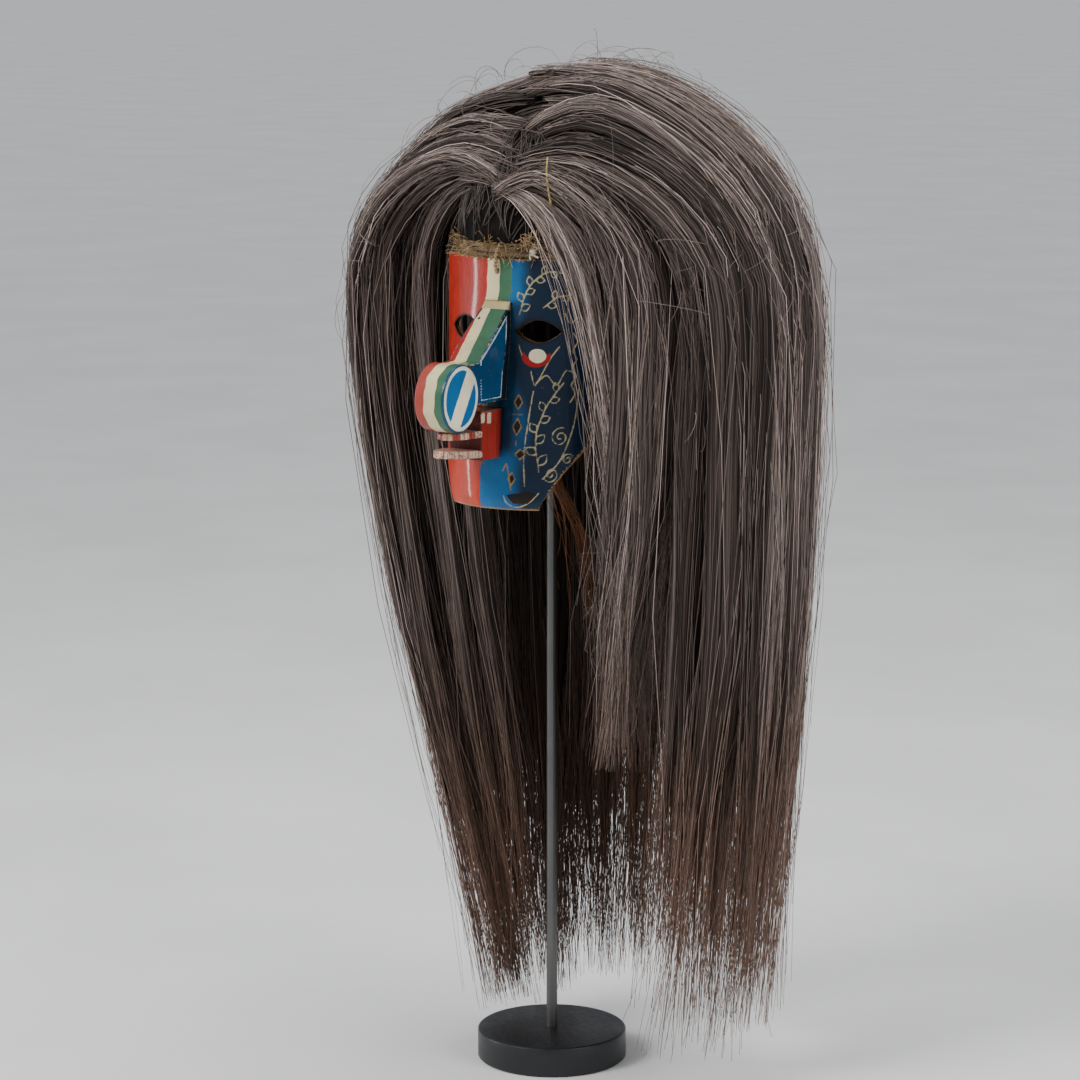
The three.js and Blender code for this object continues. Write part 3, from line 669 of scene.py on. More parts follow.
def bent(points, count=18):
    flat = np.column_stack([np.asarray(points, float), np.zeros(len(points))])
    return curve_through(flat, count)[:, :2]


def face_paint(points):
    """Signed distances of each painted shape at the shell's points."""
    x, y, z = points.T
    radius = face_radius(z)
    arc = radius * np.arcsin(np.clip(x / radius, -1, 1))
    at = np.column_stack([arc, z])
    sway = 0.7 * np.sin(z / 7.0) + 0.5 * np.sin(z / 3.1 + 1)
    brow = smooth(0, 1, (z - 545) / 60)
    red_edge = -6.8 - 6.0 * brow + sway * 0.8
    cream_edge = red_edge + 12.6 * brow
    green_edge = cream_edge + 10.9 * brow
    curtain = [
        *leafy_stem(bent([(20, 646), (27, 668), (43, 681), (62, 678)]), 9, 7),
        *leafy_stem(bent([(40, 652), (52, 661), (66, 662), (75, 655)]), 8, 7),
        bent([(58, 648), (63, 640), (70, 645), (74, 636)]),
    ]
    zigzag = [(66 + (4 if k % 2 else 0), 632 - 7 * k) for k in range(9)]
    cheek = [
        *leafy_stem(bent([(44, 520), (40, 548), (48, 574), (60, 592)]), 11, 9),
        bent([(47, 514), (60, 528), (70, 556), (73, 590)]),
        bent([(36, 585), (33, 560), (31, 534), (33, 508)]),
        spiral((60, 548), 8, 1.6, 1.2),
        spiral((54, 518), 6.5, 1.5, 3.6),
        spiral((67, 530), 5, 1.4, 0.4),
        bent([(38, 592), (46, 598), (54, 590), (62, 602), (70, 598)]),
    ]
    under_eye = [
        [(21.5, 622), (25, 613)],
        bent([(33, 601), (37, 590), (42, 599), (49, 613), (55, 621)]),
        bent([(16, 500), (19, 494), (27, 491), (37, 495), (45, 503)]),
    ]
    lozenges = [(24, 576, 3.4, 6.0), (24, 556, 3.6, 7.0), (28, 534, 4.2, 4.2), (22, 514, 3.0, 5.0)]
    dark, tan = [], []
    for cx, cz, w, h in lozenges:
        outline = [(cx, cz + h), (cx + w, cz), (cx, cz - h), (cx - w, cz), (cx, cz + h)]
        dark.append(inside(at, outline[:-1]))
        tan.append(np.asarray(outline))
    tan += [bent([(14, 520), (17, 526), (19, 519), (22, 505)])]
    tan += [[(19, 566), (29, 566)], [(24, 545), (24, 541)]]
    chin_patch = [(18, 501), (24, 494), (36, 494), (44, 502), (36, 504)]
    eye_gap = np.maximum(
        inside(np.column_stack([x, z]), eye_outline(1)),
        inside(np.column_stack([x, z]), eye_outline(-1)),
    )
    from_rim = np.minimum(FACE_TOP_Z - z, (1 - np.abs(x) / np.maximum(face_half_width(z), 1)) * 80)
    from_rim = np.minimum(from_rim, z - FACE_BOTTOM_Z + 1)
    inner = y - (face_front_y(z) + radius - np.sqrt(np.maximum(radius**2 - x**2, 1)))
    navy_area = arc - smooth(30, 21, (z - 540) / 60) - 4 * np.sin(z / 17)
    pale_brow = np.minimum(9.0 - (x - green_edge), (z - 620) * 0.2)
    # Painted highlight: a paler blue low on the chin, where light falls on it.
    painted_chin_highlight = (534 - z) * 0.3 - np.maximum(0, arc - 16) * 0.4
    # Painted shadow of the nose and mouth on the cheek beside them, with darkening at the eye holes and
    # along the rim.
    beside_nose = np.exp(-np.maximum(0, np.abs(x - 6) - 12) / 6.0)
    shadow = beside_nose * smooth(0, 1, (664 - z) / 14) * smooth(0, 1, (z - 526) / 16)
    crescent = ellipse((36.5, 613.0), (12.0, 8.6)), ellipse((36.5, 618.8), (11.0, 8.0))
    grime_and_shade = 0.75 * shadow + 0.35 * np.clip(1 + eye_gap / 6, 0, 1)
    grime_and_shade = grime_and_shade + 0.2 * np.clip(1 - from_rim / 6, 0, 1)
    return {
        "blue": np.minimum(x - green_edge, 40),
        "green": np.minimum(x - cream_edge, green_edge - x),
        "cream": np.minimum(x - red_edge, cream_edge - x),
        "pale": np.where(x > green_edge, np.maximum(pale_brow, painted_chin_highlight), -5.0),
        "worn": np.minimum(red_edge - x, (540 - z) * 0.16 - 1.5),
        "navy": navy_area,
        "lines": strokes(at, curtain + [np.asarray(zigzag)] + cheek + under_eye, 1.1),
        "crescent": np.minimum(inside(at, crescent[0]), -inside(at, crescent[1])),
        "disc": inside(at, ellipse((37.5, 613.5), (7.2, 5.6), -0.1)),
        "dark": np.maximum(np.max(dark, axis=0), inside(at, chin_patch)),
        "tan": strokes(at, tan, 1.1),
        "eye": eye_gap + 1.6,
        "hide": np.maximum(inner - 2.2, 0.6 - from_rim),
        "rub": np.clip(1.1 - from_rim / 4, 0, 1),
        "grime_and_shade": grime_and_shade,
    }


def make_face():
    material = enamel("painted hide", [
        ("", RED, 0), ("worn", rgb(172, 56, 38), 4.0), ("blue", BLUE, 0.7),
        ("pale", rgb(20, 90, 138), 4.5), ("cream", CREAM, 0.3), ("green", GREEN, 0.4),
        ("navy", NAVY, 7.0), ("lines", rgb(160, 148, 112), 0.22), ("dark", DARK, 0.25),
        ("tan", rgb(150, 116, 66), 0.22), ("crescent", rgb(142, 20, 20), 0.3),
        ("disc", rgb(206, 196, 164), 0.3), ("eye", DARK, 0.8), ("hide", TAN, 0.5),
    ], TAN)
    points, faces = face_sheet()
    faces = oriented(points, faces)
    piece = mesh_object("mask_face_shell", points, faces, material, "mask_face")
    cut_holes(piece)
    write_floats(piece.data, face_paint(read_points(piece)))


# Nose
def nose_profile():
    def back(z):
        return face_front_y(z) - 0.3

    ridge_z = NOSE_TOP_Z - 45
    drum_z = NOSE_TOP_Z - 71.6
    drum_y = face_front_y(drum_z) - 64.5
    bevel_z = NOSE_TOP_Z - 8
    bevel_y = back(bevel_z) - 6
    ridge_y = back(ridge_z) - 43
    outline = [
        (back(NOSE_TOP_Z), NOSE_TOP_Z),
        (back(NOSE_BOTTOM_Z), NOSE_BOTTOM_Z),
        (drum_y, NOSE_BOTTOM_Z),
        (drum_y, drum_z + DRUM_HEIGHT * 0.46),
        (ridge_y, ridge_z),
        ((bevel_y + ridge_y) / 2, (bevel_z + ridge_z) / 2 + 1.5),
        (bevel_y, bevel_z),
    ]
    return np.array(outline), (drum_y, drum_z)


def board_material():
    return enamel("nose enamel", [
        ("", CREAM, 0), ("red", RED, 0.3), ("green", GREEN, 0.4), ("blue", NAVY, 0.4),
        ("side_blue", rgb(8, 66, 104), 0.3), ("board_side_shade", rgb(14, 24, 34), 1.6),
        ("line", rgb(186, 200, 202), 0.2), ("wood", rgb(172, 156, 112), 0.5), ("hole", DARK, 0.2),
    ], rgb(168, 142, 102))


def drum_material():
    return enamel("drum enamel", [
        ("", rgb(152, 62, 52), 0), ("cream", CREAM, 0.3), ("green", GREEN, 0.3),
        ("edge", rgb(20, 74, 100), 0.25), ("ring", WHITE, 0.25), ("fill", rgb(26, 98, 150), 0.25),
        ("bar", rgb(236, 226, 198), 0.2), ("far_fill", NAVY, 0.3),
    ], rgb(120, 80, 58))


def make_board(outline, drum_y, drum_z):
    """The board with the painted ridge, widened where it holds the drum."""
    board = resampled(outline, 1.8)
    points, faces = rounded_slab(board, -NOSE_HALF_WIDTH, NOSE_HALF_WIDTH, 1.0, 18, 12)
    points = points[:, [2, 0, 1]]
    share = (NOSE_TOP_Z - points[:, 2]) / NOSE_LENGTH
    flare = NOSE_FLARE * np.sin(np.pi * np.minimum(1, share * 1.4) * 0.75)
    from_drum = (points[:, 1:] - [drum_y, drum_z]) / [DRUM_DEPTH / 2, DRUM_HEIGHT / 2]
    at_drum = np.hypot(*from_drum.T) < 1.03
    flare = np.where(at_drum, DRUM_HALF_WIDTH - 1.2 - NOSE_HALF_WIDTH, flare)
    points[:, 0] *= 1 + flare / NOSE_HALF_WIDTH
    x, y, z = points.T
    proud = face_front_y(z) - y
    flat = np.column_stack([y, z])
    side = np.abs(x) - NOSE_HALF_WIDTH - flare + 1.1
    wander = 1.2 * np.sin(z / 9.0) + 0.5 * np.sin(z / 3.7)
    down = smooth(0, 1, (NOSE_TOP_Z - z) / 45)
    red_edge = -13.5 + 4.5 * down + wander * 0.4
    green_edge = -3.7 + 5.8 * down + wander * 0.5
    blue_edge = 12.6 + 3.2 * down
    panel = inside(flat, [(-86.5, 645), (-124.5, 613), (-123, 580.5), (-96, 580.5), (-90.5, 622)])
    top_end = smooth(0, 1, (z - (NOSE_TOP_Z - 7.5)) / 2)
    hole = np.hypot(x - NOSE_HOLE[0], z - NOSE_HOLE[1])
    from_edge = np.maximum(inside(flat, outline), np.abs(side - 1.1))
    under = np.clip((NOSE_BOTTOM_Z + 3 - z) / 3, 0, 1)
    board_paint = {
        "red": np.minimum(red_edge - x, 5),
        "green": np.minimum(x - green_edge, blue_edge - x),
        "blue": np.minimum(x - blue_edge, 5),
        "side_blue": side,
        "line": np.minimum(side, 0.75 - np.abs(panel)),
        # Painted shade: the side beyond the panel's outline, towards the face, is dark.
        "board_side_shade": np.where((side > 0) & (y > -99), -panel, -1.0),
        "wood": np.maximum(4 * (top_end - 0.5), np.where(y > face_front_y(z) - 1, 1.0, -1.0)),
        "hole": 1.3 - hole,
        "rub": np.clip(1 - from_edge / 1.6, 0, 1) * 0.9,
        # Painted shade: darker where the side meets the face and under the board's lower end.
        "grime_and_shade": 0.25 * np.clip(1 - proud / 14, 0, 1) * (side > 0) + 0.3 * under,
    }
    faces = oriented(points, faces)
    mesh_object("nose_board", points, faces, board_material(), "nose", board_paint)


def make_drum(drum_y, drum_z):
    """The round drum at the nose's tip, with bands round it and a barred disc on its near end."""
    ring = ellipse((0, 0), (DRUM_DEPTH / 2, DRUM_HEIGHT / 2), count=97)[:-1]
    slab, faces = rounded_slab(ring, -DRUM_HALF_WIDTH, DRUM_HALF_WIDTH, 1.3, 18, 16)
    py, pz, px = slab.T
    reach = np.hypot(py / (DRUM_DEPTH / 2), pz / (DRUM_HEIGHT / 2)) * 26
    y, z = rotated(py, pz, DRUM_TILT)
    turned = np.column_stack([px, drum_y + y, drum_z + z])
    near = px - DRUM_HALF_WIDTH + 1.0
    bar_x, _ = rotated(turned[:, 1] - BAR_CENTRE[0], turned[:, 2] - BAR_CENTRE[1], BAR_TURN)
    sway = 0.5 * np.sin(np.arctan2(py, pz) * 5) + 0.4 * np.sin(np.arctan2(py, pz) * 11)
    drum_paint = {
        "cream": px - (-DRUM_HALF_WIDTH + 9.0) + sway,
        "green": px - (-DRUM_HALF_WIDTH + 19.6) + sway,
        "edge": px - (DRUM_HALF_WIDTH - 2.2),
        "ring": np.minimum(near, 24.6 - reach),
        "fill": np.minimum(near, 21.6 - reach),
        "bar": np.minimum(near, np.minimum(7.0 - np.abs(bar_x), 23.2 - reach)),
        "far_fill": np.minimum(-DRUM_HALF_WIDTH + 1.0 - px, 18 - reach),
        "rub": np.clip(1 - np.hypot(np.abs(px) - DRUM_HALF_WIDTH, reach - 25.5) / 2, 0, 1) * 0.9 - 0.05,
        # Painted shade: darker towards the drum's underside.
        "grime_and_shade": 0.12 + 0.25 * np.clip((-turned[:, 2] + drum_z - 18) / 10, 0, 1),
    }
    faces = oriented(turned, faces)
    mesh_object("nose_drum", turned, faces, drum_material(), None, drum_paint)


def make_nose():
    outline, (drum_y, drum_z) = nose_profile()
    make_board(outline, drum_y, drum_z)
    make_drum(drum_y, drum_z)


# Mouth
def half_disc(reach, width, back=2.0, count=44):
    turn = np.linspace(0, np.pi, count)
    front = np.column_stack([width * np.cos(turn), -reach * np.sin(turn)])
    return resampled(np.concatenate([front, [(-width, back), (width, back)]]), 1.0)


def notched(outline, pitch, depth):
    """Small grooves along an outline, where teeth are cut in its edge."""
    lengths = lengths_along(outline)
    wave = np.clip(1 - np.abs((lengths % pitch) - pitch / 2) / 0.9, 0, 1)
    return outline + inward_of(outline) * (wave * depth * (outline[:, 1] < -2))[:, None], lengths


def make_lip(front_y, name, reach, thickness, low, tilt, top_tone, edge_tone, pitch):
    """A shelf with a round front, whose edge is cut and painted as teeth."""
    outline, lengths = notched(half_disc(reach, MOUTH_HALF_WIDTH), pitch, 0.55)
    lip, lip_faces = rounded_slab(outline, 0, thickness, 0.9, 5, 8)
    rows = (len(lip) - 2) // len(outline)
    along = np.concatenate([np.tile(lengths, rows), [0, 0]])
    edge = to_line(lip[:, :2], np.concatenate([outline, outline[:1]]))
    gap = np.abs((along % pitch) - pitch / 2)
    number = np.floor(along / pitch)
    tooth_on = number % 2 == 0 if name == "upper_lip" else number % 7 != 3
    height = lip[:, 2]
    y, z = rotated(lip[:, 1], height, -tilt)
    placed = np.column_stack([lip[:, 0] + MOUTH_X, front_y + y, low + z])
    paint = {
        "edge": np.minimum(1.2 - edge, 1.0),
        "tooth": np.where(tooth_on, np.minimum(1.3 - edge, gap - 0.45), -1.0),
        "gapline": np.minimum(1.6 - edge, 0.35 - gap) * (height > 0.4),
        "rub": 0.35 + 0.3 * np.clip(1 - edge / 3, 0, 1),
        # Painted shade: darker towards the back, where the lip meets the block.
        "grime_and_shade": 0.02 + 0.3 * np.clip((placed[:, 1] + 125) / 8, 0, 1),
    }
    material = enamel(name.replace("_", " ") + " enamel", [
        ("", top_tone, 0), ("edge", edge_tone, 0.4), ("tooth", rgb(206, 176, 152), 0.5),
        ("gapline", rgb(92, 44, 36), 0.3),
    ], rgb(150, 110, 86))
    lip_faces = oriented(placed, lip_faces)
    mesh_object("mouth_" + name, placed, lip_faces, material, None, paint)


def make_mouth():
    front_y = face_front_y(MOUTH_TOP_Z) - 32
    back_y = face_front_y(MOUTH_BOTTOM_Z) - 0.4
    half = MOUTH_HALF_WIDTH
    block = resampled([(-half, back_y), (-half, front_y), (half, front_y), (half, back_y)], 1.3)
    points, faces = rounded_slab(block, MOUTH_BOTTOM_Z, MOUTH_TOP_Z, 0.8, 28, 6)
    back = points[:, 1] > back_y - 4
    follow = 1 - (back_y - points[back, 1]) / 4
    points[back, 1] += (face_front_y(points[back, 2]) - 0.4 - back_y) * follow
    points[:, 0] += MOUTH_X
    x, y, z = points.T
    near = x - (MOUTH_X + MOUTH_HALF_WIDTH) + 0.9
    blocks = np.maximum(
        np.minimum(2.6 - np.abs(y + 118.0), 4.0 - np.abs(z - 566.0)),
        np.minimum(2.8 - np.abs(y + 109.2), 4.4 - np.abs(z - 565.0)),
    )
    ribs = 0.5 - np.abs((y + 100) % 4.4 - 2.2)
    grooves = np.where((near > 0) & (z < 559), np.clip(ribs + 0.2, 0, 0.6), 0)
    points[:, 0] -= grooves * 0.9
    block_paint = {
        "tooth": np.minimum(near, blocks),
        # Dark carved strokes on the near side, and painted shade on the front face between the lips.
        "dark": np.maximum(
            np.minimum(near, ribs * (z < 559) - 0.35),
            np.minimum(front_y + 0.9 - y, 1.0),
        ),
        # Painted shadow at the back of the block, where it meets the face.
        "shade": np.minimum(y + 92.0, 5.0),
        "top": z - MOUTH_TOP_Z + 0.6,
        "rub": np.clip(1 - np.hypot(near - 0.9, z - MOUTH_TOP_Z) / 3, 0, 1) * 0.7 + 0.05,
        # Painted shade: darker towards the back, where the block meets the face.
        "grime_and_shade": 0.25 + 0.5 * np.clip((y + 100) / 8, 0, 1),
    }
    material = enamel("mouth enamel", [
        ("", rgb(150, 44, 36), 0), ("top", rgb(110, 70, 58), 0.4), ("dark", rgb(84, 26, 20), 0.4),
        ("tooth", rgb(206, 186, 160), 0.3), ("shade", rgb(34, 16, 16), 2.5),
    ], rgb(120, 84, 66))
    faces = oriented(points, faces)
    mesh_object("mouth_block", points, faces, material, "mouth", block_paint)
    upper_z = MOUTH_TOP_Z - 15.6 - 5.5
    lower_z = MOUTH_BOTTOM_Z + 2.5
    lips = (
        ("upper_lip", 31.0, 5.5, upper_z, 0.0, rgb(150, 122, 108), rgb(160, 52, 42), 7.5),
        ("lower_lip", 38.0, 6.0, lower_z, 0.07, rgb(206, 148, 130), rgb(190, 150, 128), 4.6),
    )
    for lip in lips:
        make_lip(front_y, *lip)


# Stand
def make_base():
    chamfer = 1.5
    bore = ROD_RADIUS + 0.3
    profile = [
        (0.0, 0.0),
        (BASE_RADIUS - chamfer, 0.0),
        (BASE_RADIUS, chamfer),
        (BASE_RADIUS, BASE_HEIGHT - chamfer),
        (BASE_RADIUS - 0.35, BASE_HEIGHT - chamfer + 0.7),
        (BASE_RADIUS - chamfer, BASE_HEIGHT),
        (BASE_RADIUS * 0.5, BASE_HEIGHT),
        (bore, BASE_HEIGHT),
        (bore, ROD_SEAT_Z),
        (0.0, ROD_SEAT_Z),
    ]
    fine = []
    for (r0, z0), (r1, z1) in zip(profile[:-1], profile[1:]):
        steps = 3 if abs(r1 - r0) > 8 or abs(z1 - z0) > 8 else 1
        fine += [(r0 + (r1 - r0) * k / steps, z0 + (z1 - z0) * k / steps) for k in range(steps)]
    fine = fine[1:] + [profile[-1]]
    sides = 112
    turn = 2 * np.pi * np.arange(sides) / sides
    around = np.column_stack([np.cos(turn), np.sin(turn)])
    rings = [np.column_stack([r * around, np.full(sides, z)]) for r, z in fine[:-1]]
    points = np.concatenate(rings + [np.array([[0, 0, 0], [0, 0, ROD_SEAT_Z]])])
    faces = oriented(points, tube_faces(len(rings), sides))
    material = steel_material("dark steel foot", rgb(58, 59, 60), 0.3, 0.46, (1.0, 1.0, 0.2))
    piece = mesh_object("stand_foot", points, faces, material, "stand_base")
    crease = piece.modifiers.new("edges", "EDGE_SPLIT")
    crease.split_angle = math.radians(28)
    graph = bpy.context.evaluated_depsgraph_get()
    creased = bpy.data.meshes.new_from_object(piece.evaluated_get(graph))
    piece.modifiers.clear()
    piece.data = creased


# Hair
def plan_point(angle, share, z, fall):
    """A point of the wig's plan. angle is in degrees, fall is 0 on the crown and 1 below it."""
    turn = np.radians(angle)
    centre_y = smooth(CAP_Y, HAIR_Y, fall)
    x = HAIR_X * fall + share * HAIR_HALF_WIDTH * np.sin(turn)
    y = centre_y - share * HAIR_HALF_DEPTH * np.cos(turn)
    return np.stack([x, y, np.broadcast_to(z, np.shape(x))], axis=-1)


def dome_rise(part):
    """Height of the wig over its shoulder, from the brow to behind the crown."""
    return BROW_RISE + (CROWN_RISE - BROW_RISE) * smooth(0, 1, part / 0.42)


def along_part(angle):
    """Where a lock starts on the parting line: 0 at the brow, 1 behind the crown."""
    return np.clip((np.abs(angle) - FACE_OPENING) / (BACK_PARTING - FACE_OPENING), 0, 1)


def lock_paths(angle, ring, tip_z, count=160):
    """Centre lines of locks, from the parting line over the dome and down to their tips."""
    left = np.cos(np.radians(angle + 60))
    tip_share = (0.605 - 0.235 * left) * ring
    power = 1.45 - 0.1 * left
    part = along_part(angle)
    number = len(angle)
    root_y = PARTING_FRONT_Y + PARTING_LENGTH * part + rng.normal(0, 4, number)
    root_x = np.sign(angle) * rng.uniform(-17, 5, number) + 1
    over = np.clip(1 - ((root_y - CAP_Y) / (CAP_HALF_DEPTH + 6)) ** 2, 0.05, 1)
    root_z = CAP_BOTTOM_Z + BAND_HEIGHT + 92 * np.sqrt(over) - 8 + rng.normal(0, 3, number)
    apex = 96 + (dome_rise(part) - 96) * np.clip((ring - 0.45) / 0.5, 0, 1)
    root_z = smooth(root_z, SHOULDER_Z + apex - 9, (part - 0.15) / 0.3)
    apex = apex - np.where(angle < 0, 22, 3) * smooth(0, 1, part / 0.4)
    square = smooth(2.4, 2.0, part / 0.4) + np.where(angle < 0, 0.15, -0.1)
    end = plan_point(angle, ring, SHOULDER_Z, 1.0)
    controls = [np.stack([root_x, root_y, root_z], axis=-1)]
    for w in (0.1, 0.3, 0.56, 0.8, 0.95, 1.0):
        dome = SHOULDER_Z + apex * np.sqrt(1 - w**square)
        z = dome - (SHOULDER_Z + apex - root_z) * math.exp(-((w / 0.13) ** 2))
        x = root_x + (end[:, 0] - root_x) * w
        y = root_y + (end[:, 1] - root_y) * (0.55 * w + 0.45 * w * w)
        controls.append(np.stack([x, y, z], axis=-1))
    wander = rng.normal(0, 1, (2, number))
    for s in (0.2, 0.4, 0.6, 0.8, 1.0):
        share = ring - (ring - tip_share) * s**power + 0.03 * s * np.sin(7 * s + 3 * wander[1])
        swing = 3.2 * s * wander[0] + 2.2 * s * np.sin(9 * s + 3 * wander[1])
        controls.append(plan_point(angle + swing, share, SHOULDER_Z + (tip_z - SHOULDER_Z) * s, 1.0))
    return curve_through(np.stack(controls, axis=1), count)


def outward_hints(angle, count):
    turn = np.radians(angle)
    s = np.linspace(0, 1, count)
    flat = np.stack([np.sin(turn), -np.cos(turn)], axis=-1)
    up = smooth(2.0, 0.0, s / 0.35)
    return np.concatenate([
        np.broadcast_to(flat[:, None], (len(angle), count, 2)),
        np.broadcast_to(up[None, :, None], (len(angle), count, 1)),
    ], axis=-1)


def spread_along(s):
    """How wide a lock is along its length: root, body, tip."""
    return np.where(s < 0.25, smooth(0.4, 1.0, s / 0.25), smooth(1.0, 0.36, (s - 0.58) / 0.42))


DARK_HAIR = np.array(rgb(58, 50, 45))
TAUPE_HAIR = np.array(rgb(122, 106, 98))
GREY_HAIR = np.array(rgb(192, 174, 166))
AUBURN_HAIR = np.array(rgb(124, 80, 50))


def strand_colours(z, tone, warm):
    """Colour at each point of each strand: dark to grey by tone, reddish towards the ends."""
    tone = tone[:, None, None]
    base = np.where(
        tone < 0.6,
        DARK_HAIR + (TAUPE_HAIR - DARK_HAIR) * tone / 0.6,
        TAUPE_HAIR + (GREY_HAIR - TAUPE_HAIR) * (tone - 0.6) / 0.4,
    )
    redness = smooth(0.0, 0.75, (470 - z[..., None]) / 380) * warm[:, None, None]
    # Painted shade: strands darken towards the bottom.
    base = base * smooth(1.0, 0.68, (560 - z[..., None]) / 300)
    return base * (1 - redness) + AUBURN_HAIR * (0.5 + 0.7 * tone) * redness


def strand_mesh(paths, radii, colours):
    """Closed three-sided tubes, one for each path."""
    count, length = paths.shape[:2]
    hint = unit(rng.normal(size=(count, 1, 3)))
    _, outward, across = frames_along(paths, np.broadcast_to(hint, paths.shape))
    turn = 2 * np.pi * np.arange(3) / 3
    ring = across[:, :, None] * np.cos(turn)[:, None]
    ring = ring + outward[:, :, None] * np.sin(turn)[:, None]
    points = (paths[:, :, None] + ring * radii[:, :, None, None]).reshape(-1, 3)
    tints = np.repeat(colours.reshape(-1, 3), 3, axis=0)
    start = (np.arange(count) * length * 3)[:, None]
    quads = (grid_faces(length, 3, closed=True)[None] + start[..., None]).reshape(-1, 4)
    last = (length - 1) * 3
    ends = np.array([[0, 2, 1], [last, last + 1, last + 2]])
    caps = (ends[None] + start[..., None]).reshape(-1, 3)
    return points, [quads, caps], tints


ALONG_STRAND = np.concatenate([np.linspace(0, 0.34, 9), np.linspace(0.34, 1, 5)[1:]])
STRAND_POINTS = len(ALONG_STRAND)
MOST_STRANDS = 2600
STRANDS_A_LOCK = 73
WISPS = 7


def taper(first, last, count):
    """Radii of count strands that go evenly from first to last."""
    return np.broadcast_to(np.linspace(first, last, STRAND_POINTS), (count, STRAND_POINTS))


def strands_from(paths, angle, half_width, half_depth, per_lock, tone, shade,
                 wave=4.2, stray=0.2, length=1.0, ragged=0.26):
    """Strand centre lines round each lock's centre line, gathered in wisps, with radii and colours."""
    locks, samples = paths.shape[:2]
    _, outward, across = frames_along(paths, outward_hints(angle, samples))
    which = np.repeat(np.arange(locks), per_lock)
    total = len(which)
    wisp = which * WISPS + rng.integers(0, WISPS, total)

    def in_disc(number, power):
        reach, turn = rng.random(number) ** power, 2 * np.pi * rng.random(number)
        return reach * np.cos(turn), reach * np.sin(turn)

    own_a, own_b = in_disc(total, 0.45)
    wisp_a, wisp_b = (values[wisp] for values in in_disc(locks * WISPS, 0.5))
    loose = rng.random(total) < stray
    ends = 1.0 - ragged * rng.random(total) ** 1.7
    ends = ends - 0.35 * rng.random(total) * (rng.random(total) < 0.12)
    ends = length * np.clip(ends, 0.4, 1.0)
    begins = 0.02 * rng.random(total)
    begins = length * (begins + 0.25 * rng.random(total) * (rng.random(total) < 0.15))
    u = ALONG_STRAND
    s = begins[:, None] + (ends - begins)[:, None] * u[None]
    at = s * (samples - 1)
    low = np.clip(at.astype(int), 0, samples - 2)
    part = (at - low)[..., None]
    centre = paths[which[:, None], low] * (1 - part) + paths[which[:, None], low + 1] * part
    out = outward[which[:, None], low]
    side = across[which[:, None], low]
    gather = smooth(0.1, 0.85, s / 0.8) * np.where(loose, 0.2, 1.0)[:, None]
    spread = np.where(loose, 1.6, 1.0)[:, None] * spread_along(s)
    a = (own_a[:, None] * (1 - gather) + wisp_a[:, None] * gather) * half_width[which][:, None] * spread
    b = (own_b[:, None] * (1 - gather) + wisp_b[:, None] * gather) * half_depth[which][:, None] * spread
    shared = 2 * np.pi * rng.random((2, locks * WISPS))[:, wisp, None]
    phase = 2 * np.pi * rng.random((3, total, 1))
    pace = rng.uniform(0.6, 2.6, (total, 1))
    size = wave * (0.25 + s) * np.where(loose, 2.2, 1.0)[:, None]
    own = rng.uniform(0.25, 1.7, (total, 1))
    drift_a = size * (
        1.3 * np.sin(7.5 * s + shared[0])
        + own * np.sin(2 * np.pi * pace * s + phase[0])
        + 0.3 * own * np.sin(30 * s + phase[1])
    )
    drift_b = 0.7 * size * (
        np.sin(6.1 * s + shared[1]) + own * np.sin(2 * np.pi * pace * s + phase[2])
    )
    flick = smooth(0, 1, (s - 0.88) / 0.12) * rng.normal(0, 5, (total, 1))
    lean = rng.normal(0, 1, (total, 1)) * np.where(loose, 13.0, 2.5)[:, None] * s
    to_side = a + drift_a + flick + lean
    outward_by = b + drift_b - 0.6 * flick
    centre = centre + side * to_side[..., None] + out * outward_by[..., None]
    centre[..., 2] = np.maximum(centre[..., 2], 14)
    thick = rng.uniform(0.2, 0.38, total)[:, None] * smooth(1.0, 0.6, (u[None] - 0.5) / 0.5)
    # Painted shade: strands on the inner half of a lock are darker than those on its outer half.
    outer = 0.7 + 0.3 * (wisp_b > 0)
    lift = np.clip(tone[which] + rng.normal(0, 0.27, total), 0, 1) * shade[which] * outer
    colours = strand_colours(centre[..., 2], lift, rng.uniform(0.5, 1.0, total))
    return centre, thick, colours


def lock_cores(name, paths, angle, half_width, half_depth, tone, node):
    """The streaked inside of each lock, which the strands lie on."""
    parts, tints, streaks = [], [], []
    sides, steps = 10, 26
    reach = 0.9
    pick = np.linspace(0, paths.shape[1] * reach, steps).astype(int)
    _, outward, across = frames_along(paths, outward_hints(angle, paths.shape[1]))
    turn = 2 * np.pi * np.arange(sides) / sides
    for k in range(len(paths)):
        s = pick / paths.shape[1]
        fade = smooth(1, 0.04, (s - reach * 0.76) / (reach * 0.24))
        sizes = np.column_stack([half_width[k] * 0.74 * fade, half_depth[k] * 0.62 * fade])
        sizes = sizes * spread_along(s)[:, None]
        points, faces = sweep(paths[k, pick], sizes, sides, outward[k, pick])
        parts.append((points, faces))
        x = np.concatenate([np.tile(np.cos(turn), steps), [0, 0]]) * 1.6 + k * 3.7
        y = np.concatenate([np.tile(np.sin(turn), steps), [0, 0]]) * 1.6
        z = np.concatenate([np.repeat(s, sides), [0, 1]]) * 0.5
        streaks.append(np.column_stack([x, y, z]))
        colours = strand_colours(points[None, :, 2], tone[k:k + 1], np.array([0.9]))
        # Painted shade: the cores are darker than the strands, for the shade between and inside the
        # locks.
        tints.append(colours[0] * 0.7)
    points, faces = joined(parts)
    streaks = np.concatenate(streaks)
    mesh_object(
        name, points, faces, cores_material, node,
        {"streak_x": streaks[:, 0], "streak_y": streaks[:, 1], "streak_z": streaks[:, 2]},
        {"tint": np.concatenate(tints)},
    )


